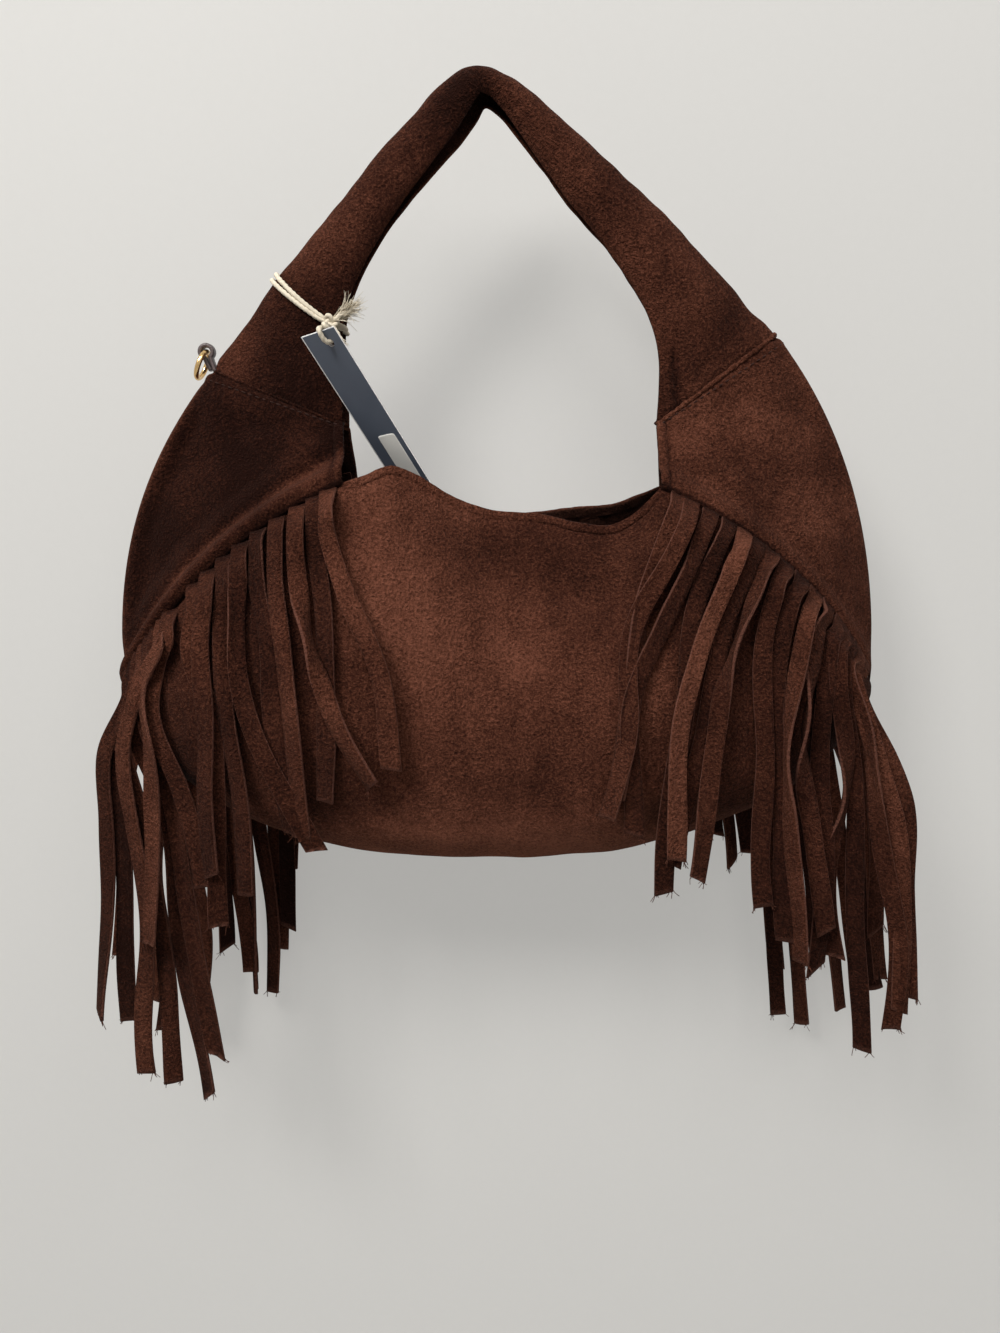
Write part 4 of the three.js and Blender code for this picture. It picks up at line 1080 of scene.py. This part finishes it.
def tab_piece():
    """A leather strip folded round the ring into a loop: a flat oval section with round edges,
    carried from the seam's end up, round the ring and back down beside itself."""
    out = unit(np.array((-0.12, 0.0, 0.993)))
    across = np.array((out[2], 0, -out[0]))
    a = np.radians(np.linspace(-62, 242, 61))
    loop = HINGE + TAB_LOOP * (np.cos(a)[:, None] * across + np.sin(a)[:, None] * out)
    leg = np.linspace(1, 0, 12)[:-1, None]
    feet = [HINGE - out * TAB_LEG + across * (0.86 * k + 1.6) for k in (1, -1)]
    line = np.vstack([mix(loop[0], feet[0], leg), loop, mix(loop[-1], feet[1], leg[::-1])])
    line = along_line(smooth_path(line[::3], np.linspace(0, 1, 400)), np.linspace(0, 1, 110))
    along = unit(np.gradient(line, axis=0))
    side = np.array((0.0, 1.0, 0.0))
    flat = np.cross(along, side)
    b = np.linspace(0, 2 * np.pi, 21)[:-1]
    px = TAB_HALF * np.sign(np.cos(b)) * np.abs(np.cos(b)) ** 0.45
    py = TAB_THIN * np.sign(np.sin(b)) * np.abs(np.sin(b)) ** 0.6
    rings = line[:, None] + px[:, None] * side + py[:, None] * flat[:, None]
    points, quads, tris = sections_mesh(rings[None])
    edge = np.concatenate([np.tile(ease(np.abs(px), TAB_HALF - 0.3, TAB_HALF), len(line)), (0, 0)])
    return put_mesh("leather_tab", points, quads, tris, {"edge": edge}, LEATHER_FINISH)


dress(ring_piece(), "ring", "ring_metal", "ring")
dress(tab_piece(), "bag", "tab_leather", "ring_tab")
card = card_finish(CARD_OUT, CARD_ACROSS, float(CARD_TOP @ CARD_ACROSS))
for node in ("tag_front_card", "tag_back_card"):
    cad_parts[node].data.materials.clear()
    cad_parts[node].data.materials.append(card)


LABEL_MIDDLE, LABEL_HALF = (13.0, 68.0), (5.4, 14.5)  # across and down the card
LABEL_THICK = 0.12
LABEL_LIFT = 2 * CARD_HALF + 0.25 + LABEL_THICK


def label_piece():
    """A blank paper patch on the front card: a flat grid with round corners, a tenth thick."""
    u, v = np.meshgrid(np.linspace(-1, 1, 24), np.linspace(-1, 1, 40), indexing="ij")
    round_off = 1 - 0.04 * np.abs(u) ** 8 * np.abs(v) ** 8
    place = (CARD_TOP + CARD_OUT * LABEL_LIFT
             + CARD_ACROSS * (LABEL_MIDDLE[0] + LABEL_HALF[0] * u * round_off)[..., None]
             + CARD_DOWN * (LABEL_MIDDLE[1] + LABEL_HALF[1] * v * round_off)[..., None])
    if (normals_of(place) @ CARD_OUT).mean() < 0:
        place = place[::-1]
    return thick_sheet("blank_label", place, LABEL_THICK, {}, label_finish(), rim=0.05)


dress(label_piece(), "bag", "tag_card")


# ---- seams and stitches
STITCH_LONG, STITCH_GAP = 3.4 * 0.62, 3.4 * 0.38


def stitch_row(name, line, normal, long, gap, thick):
    """Small stitches along a line: spindles whose radius follows a half sine, sunk at both ends."""
    total = run_length(line)
    count = int(total / (long + gap))
    share = (np.arange(count)[:, None] + np.linspace(0.02, long / (long + gap), 7)) / count
    centres = along_line(line, share.ravel()).reshape(count, 7, 3)
    lean = np.stack([np.interp(share, np.linspace(0, 1, len(normal)), c) for c in normal.T], -1)
    arch = np.sin(np.linspace(0, np.pi, 7))
    lines = centres + lean * (0.1 + 0.45 * thick * arch)[:, None]
    radius = np.broadcast_to(thick * (0.35 + 0.65 * arch), (count, 7))
    rings = round_tubes(lines, radius, 6, lean[:, 0])
    return put_mesh(name, *sections_mesh(rings), finish=STITCH_FINISH)


def welt(name, side, radius, nap, seed):
    """A rolled strip along a strap seam: a tube about the fold's line, its radius rippling a little."""
    w = np.linspace(-1, 1, 240)
    line = yoke_surface(side, np.ones(240), w)
    bumpy = radius * (1 + 0.16 * ripple(line, seed, 5.0) + 0.12 * ripple(line, seed + 1, 2.5))
    rings = round_tubes(line[None], bumpy[None], 10, np.array([[0.0, -1.0, 0.2]]))
    points, quads, tris = sections_mesh(rings)
    return put_mesh(name, points, quads, tris, {"nap": np.full(len(points), nap)}, SUEDE_FINISH)


# The left welt is darkened as painted shade; the right one is set a little lighter.
seams = [welt("left_handle_welt", LEFT, 0.55, -0.30, 61),
         welt("right_handle_welt", RIGHT, 1.25, 0.05, 65)]
w = np.linspace(-0.98, 0.98, 300)
for name, side in (("left_yoke_stitches", LEFT), ("right_yoke_stitches", RIGHT)):
    point, normal = off_surface(lambda s, w: yoke_surface(side, s, w), 0 * w + 0.962, w,
                                np.array((side["strap_in"][0], 0, -140)))
    seams.append(stitch_row(name, point + normal * (SUEDE / 2), normal, STITCH_LONG, STITCH_GAP, 0.30))
for piece in seams:
    dress(piece, "bag", "suede")


# ---- stage and light
def stage_plane(name, corners, finish):
    """A flat four-sided board."""
    piece = put_mesh(name, np.array(corners) / MM, [(0, 1, 2, 3)], finish=finish)
    return piece


BOARD = backdrop_finish()
BOARD_Y, FLOOR_Z = 0.066, -1.2
backdrop = stage_plane("backdrop", [(-2, BOARD_Y, FLOOR_Z), (2, BOARD_Y, FLOOR_Z), (2, BOARD_Y, 1.4),
                                    (-2, BOARD_Y, 1.4)], BOARD)
backdrop.visible_shadow = False
stage_plane("floor", [(-3, -3, FLOOR_Z), (3, -3, FLOOR_Z), (3, 3, FLOOR_Z), (-3, 3, FLOOR_Z)], BOARD)
CENTRE = np.array((0.0, 0.0, -0.24))
WARM, PLAIN = (1.0, 0.985, 0.965), (1.0, 0.98, 0.96)
# Square soft lamps that face the bag: name, place, size, power and colour.
for name, place, size, power, colour in (
        ("left_lamp", (-0.75, -1.05, 0.95), 0.50, 30.0, WARM),
        ("middle_lamp", (-0.1, -1.10, 1.05), 0.60, 13.0, WARM),
        ("right_lamp", (0.65, -1.10, 0.95), 0.60, 7.0, WARM),
        ("fill_lamp", (0.9, -1.3, 0.1), 1.2, 1.0, PLAIN),
        ("back_lamp", (0.2, 1.5, 0.7), 1.2, 26.0, PLAIN)):
    light = bpy.data.lights.new(name, "AREA")
    light.size, light.energy, light.color = size, power, colour
    lamp = bpy.data.objects.new(name, light)
    turn = Vector(CENTRE - place).to_track_quat("-Z", "Y").to_matrix().to_4x4()
    lamp.matrix_world = Matrix.Translation(place) @ turn
    bpy.context.scene.collection.objects.link(lamp)
# A dim world that is seen as a pale one.
sky = Finish("studio", bpy.data.worlds)
dim = sky.node("ShaderNodeBackground", {}, {"Color": (0.62, 0.61, 0.59, 1), "Strength": 0.15})
pale = sky.node("ShaderNodeBackground", {}, {"Color": (0.56, 0.555, 0.54, 1)})
shown = sky.node("ShaderNodeMixShader", {}, {0: sky.seen(), 1: dim, 2: pale})
sky.node("ShaderNodeOutputWorld", {}, {"Surface": shown})
bpy.context.scene.world = sky.made
bpy.context.scene.view_settings.view_transform = "Standard"
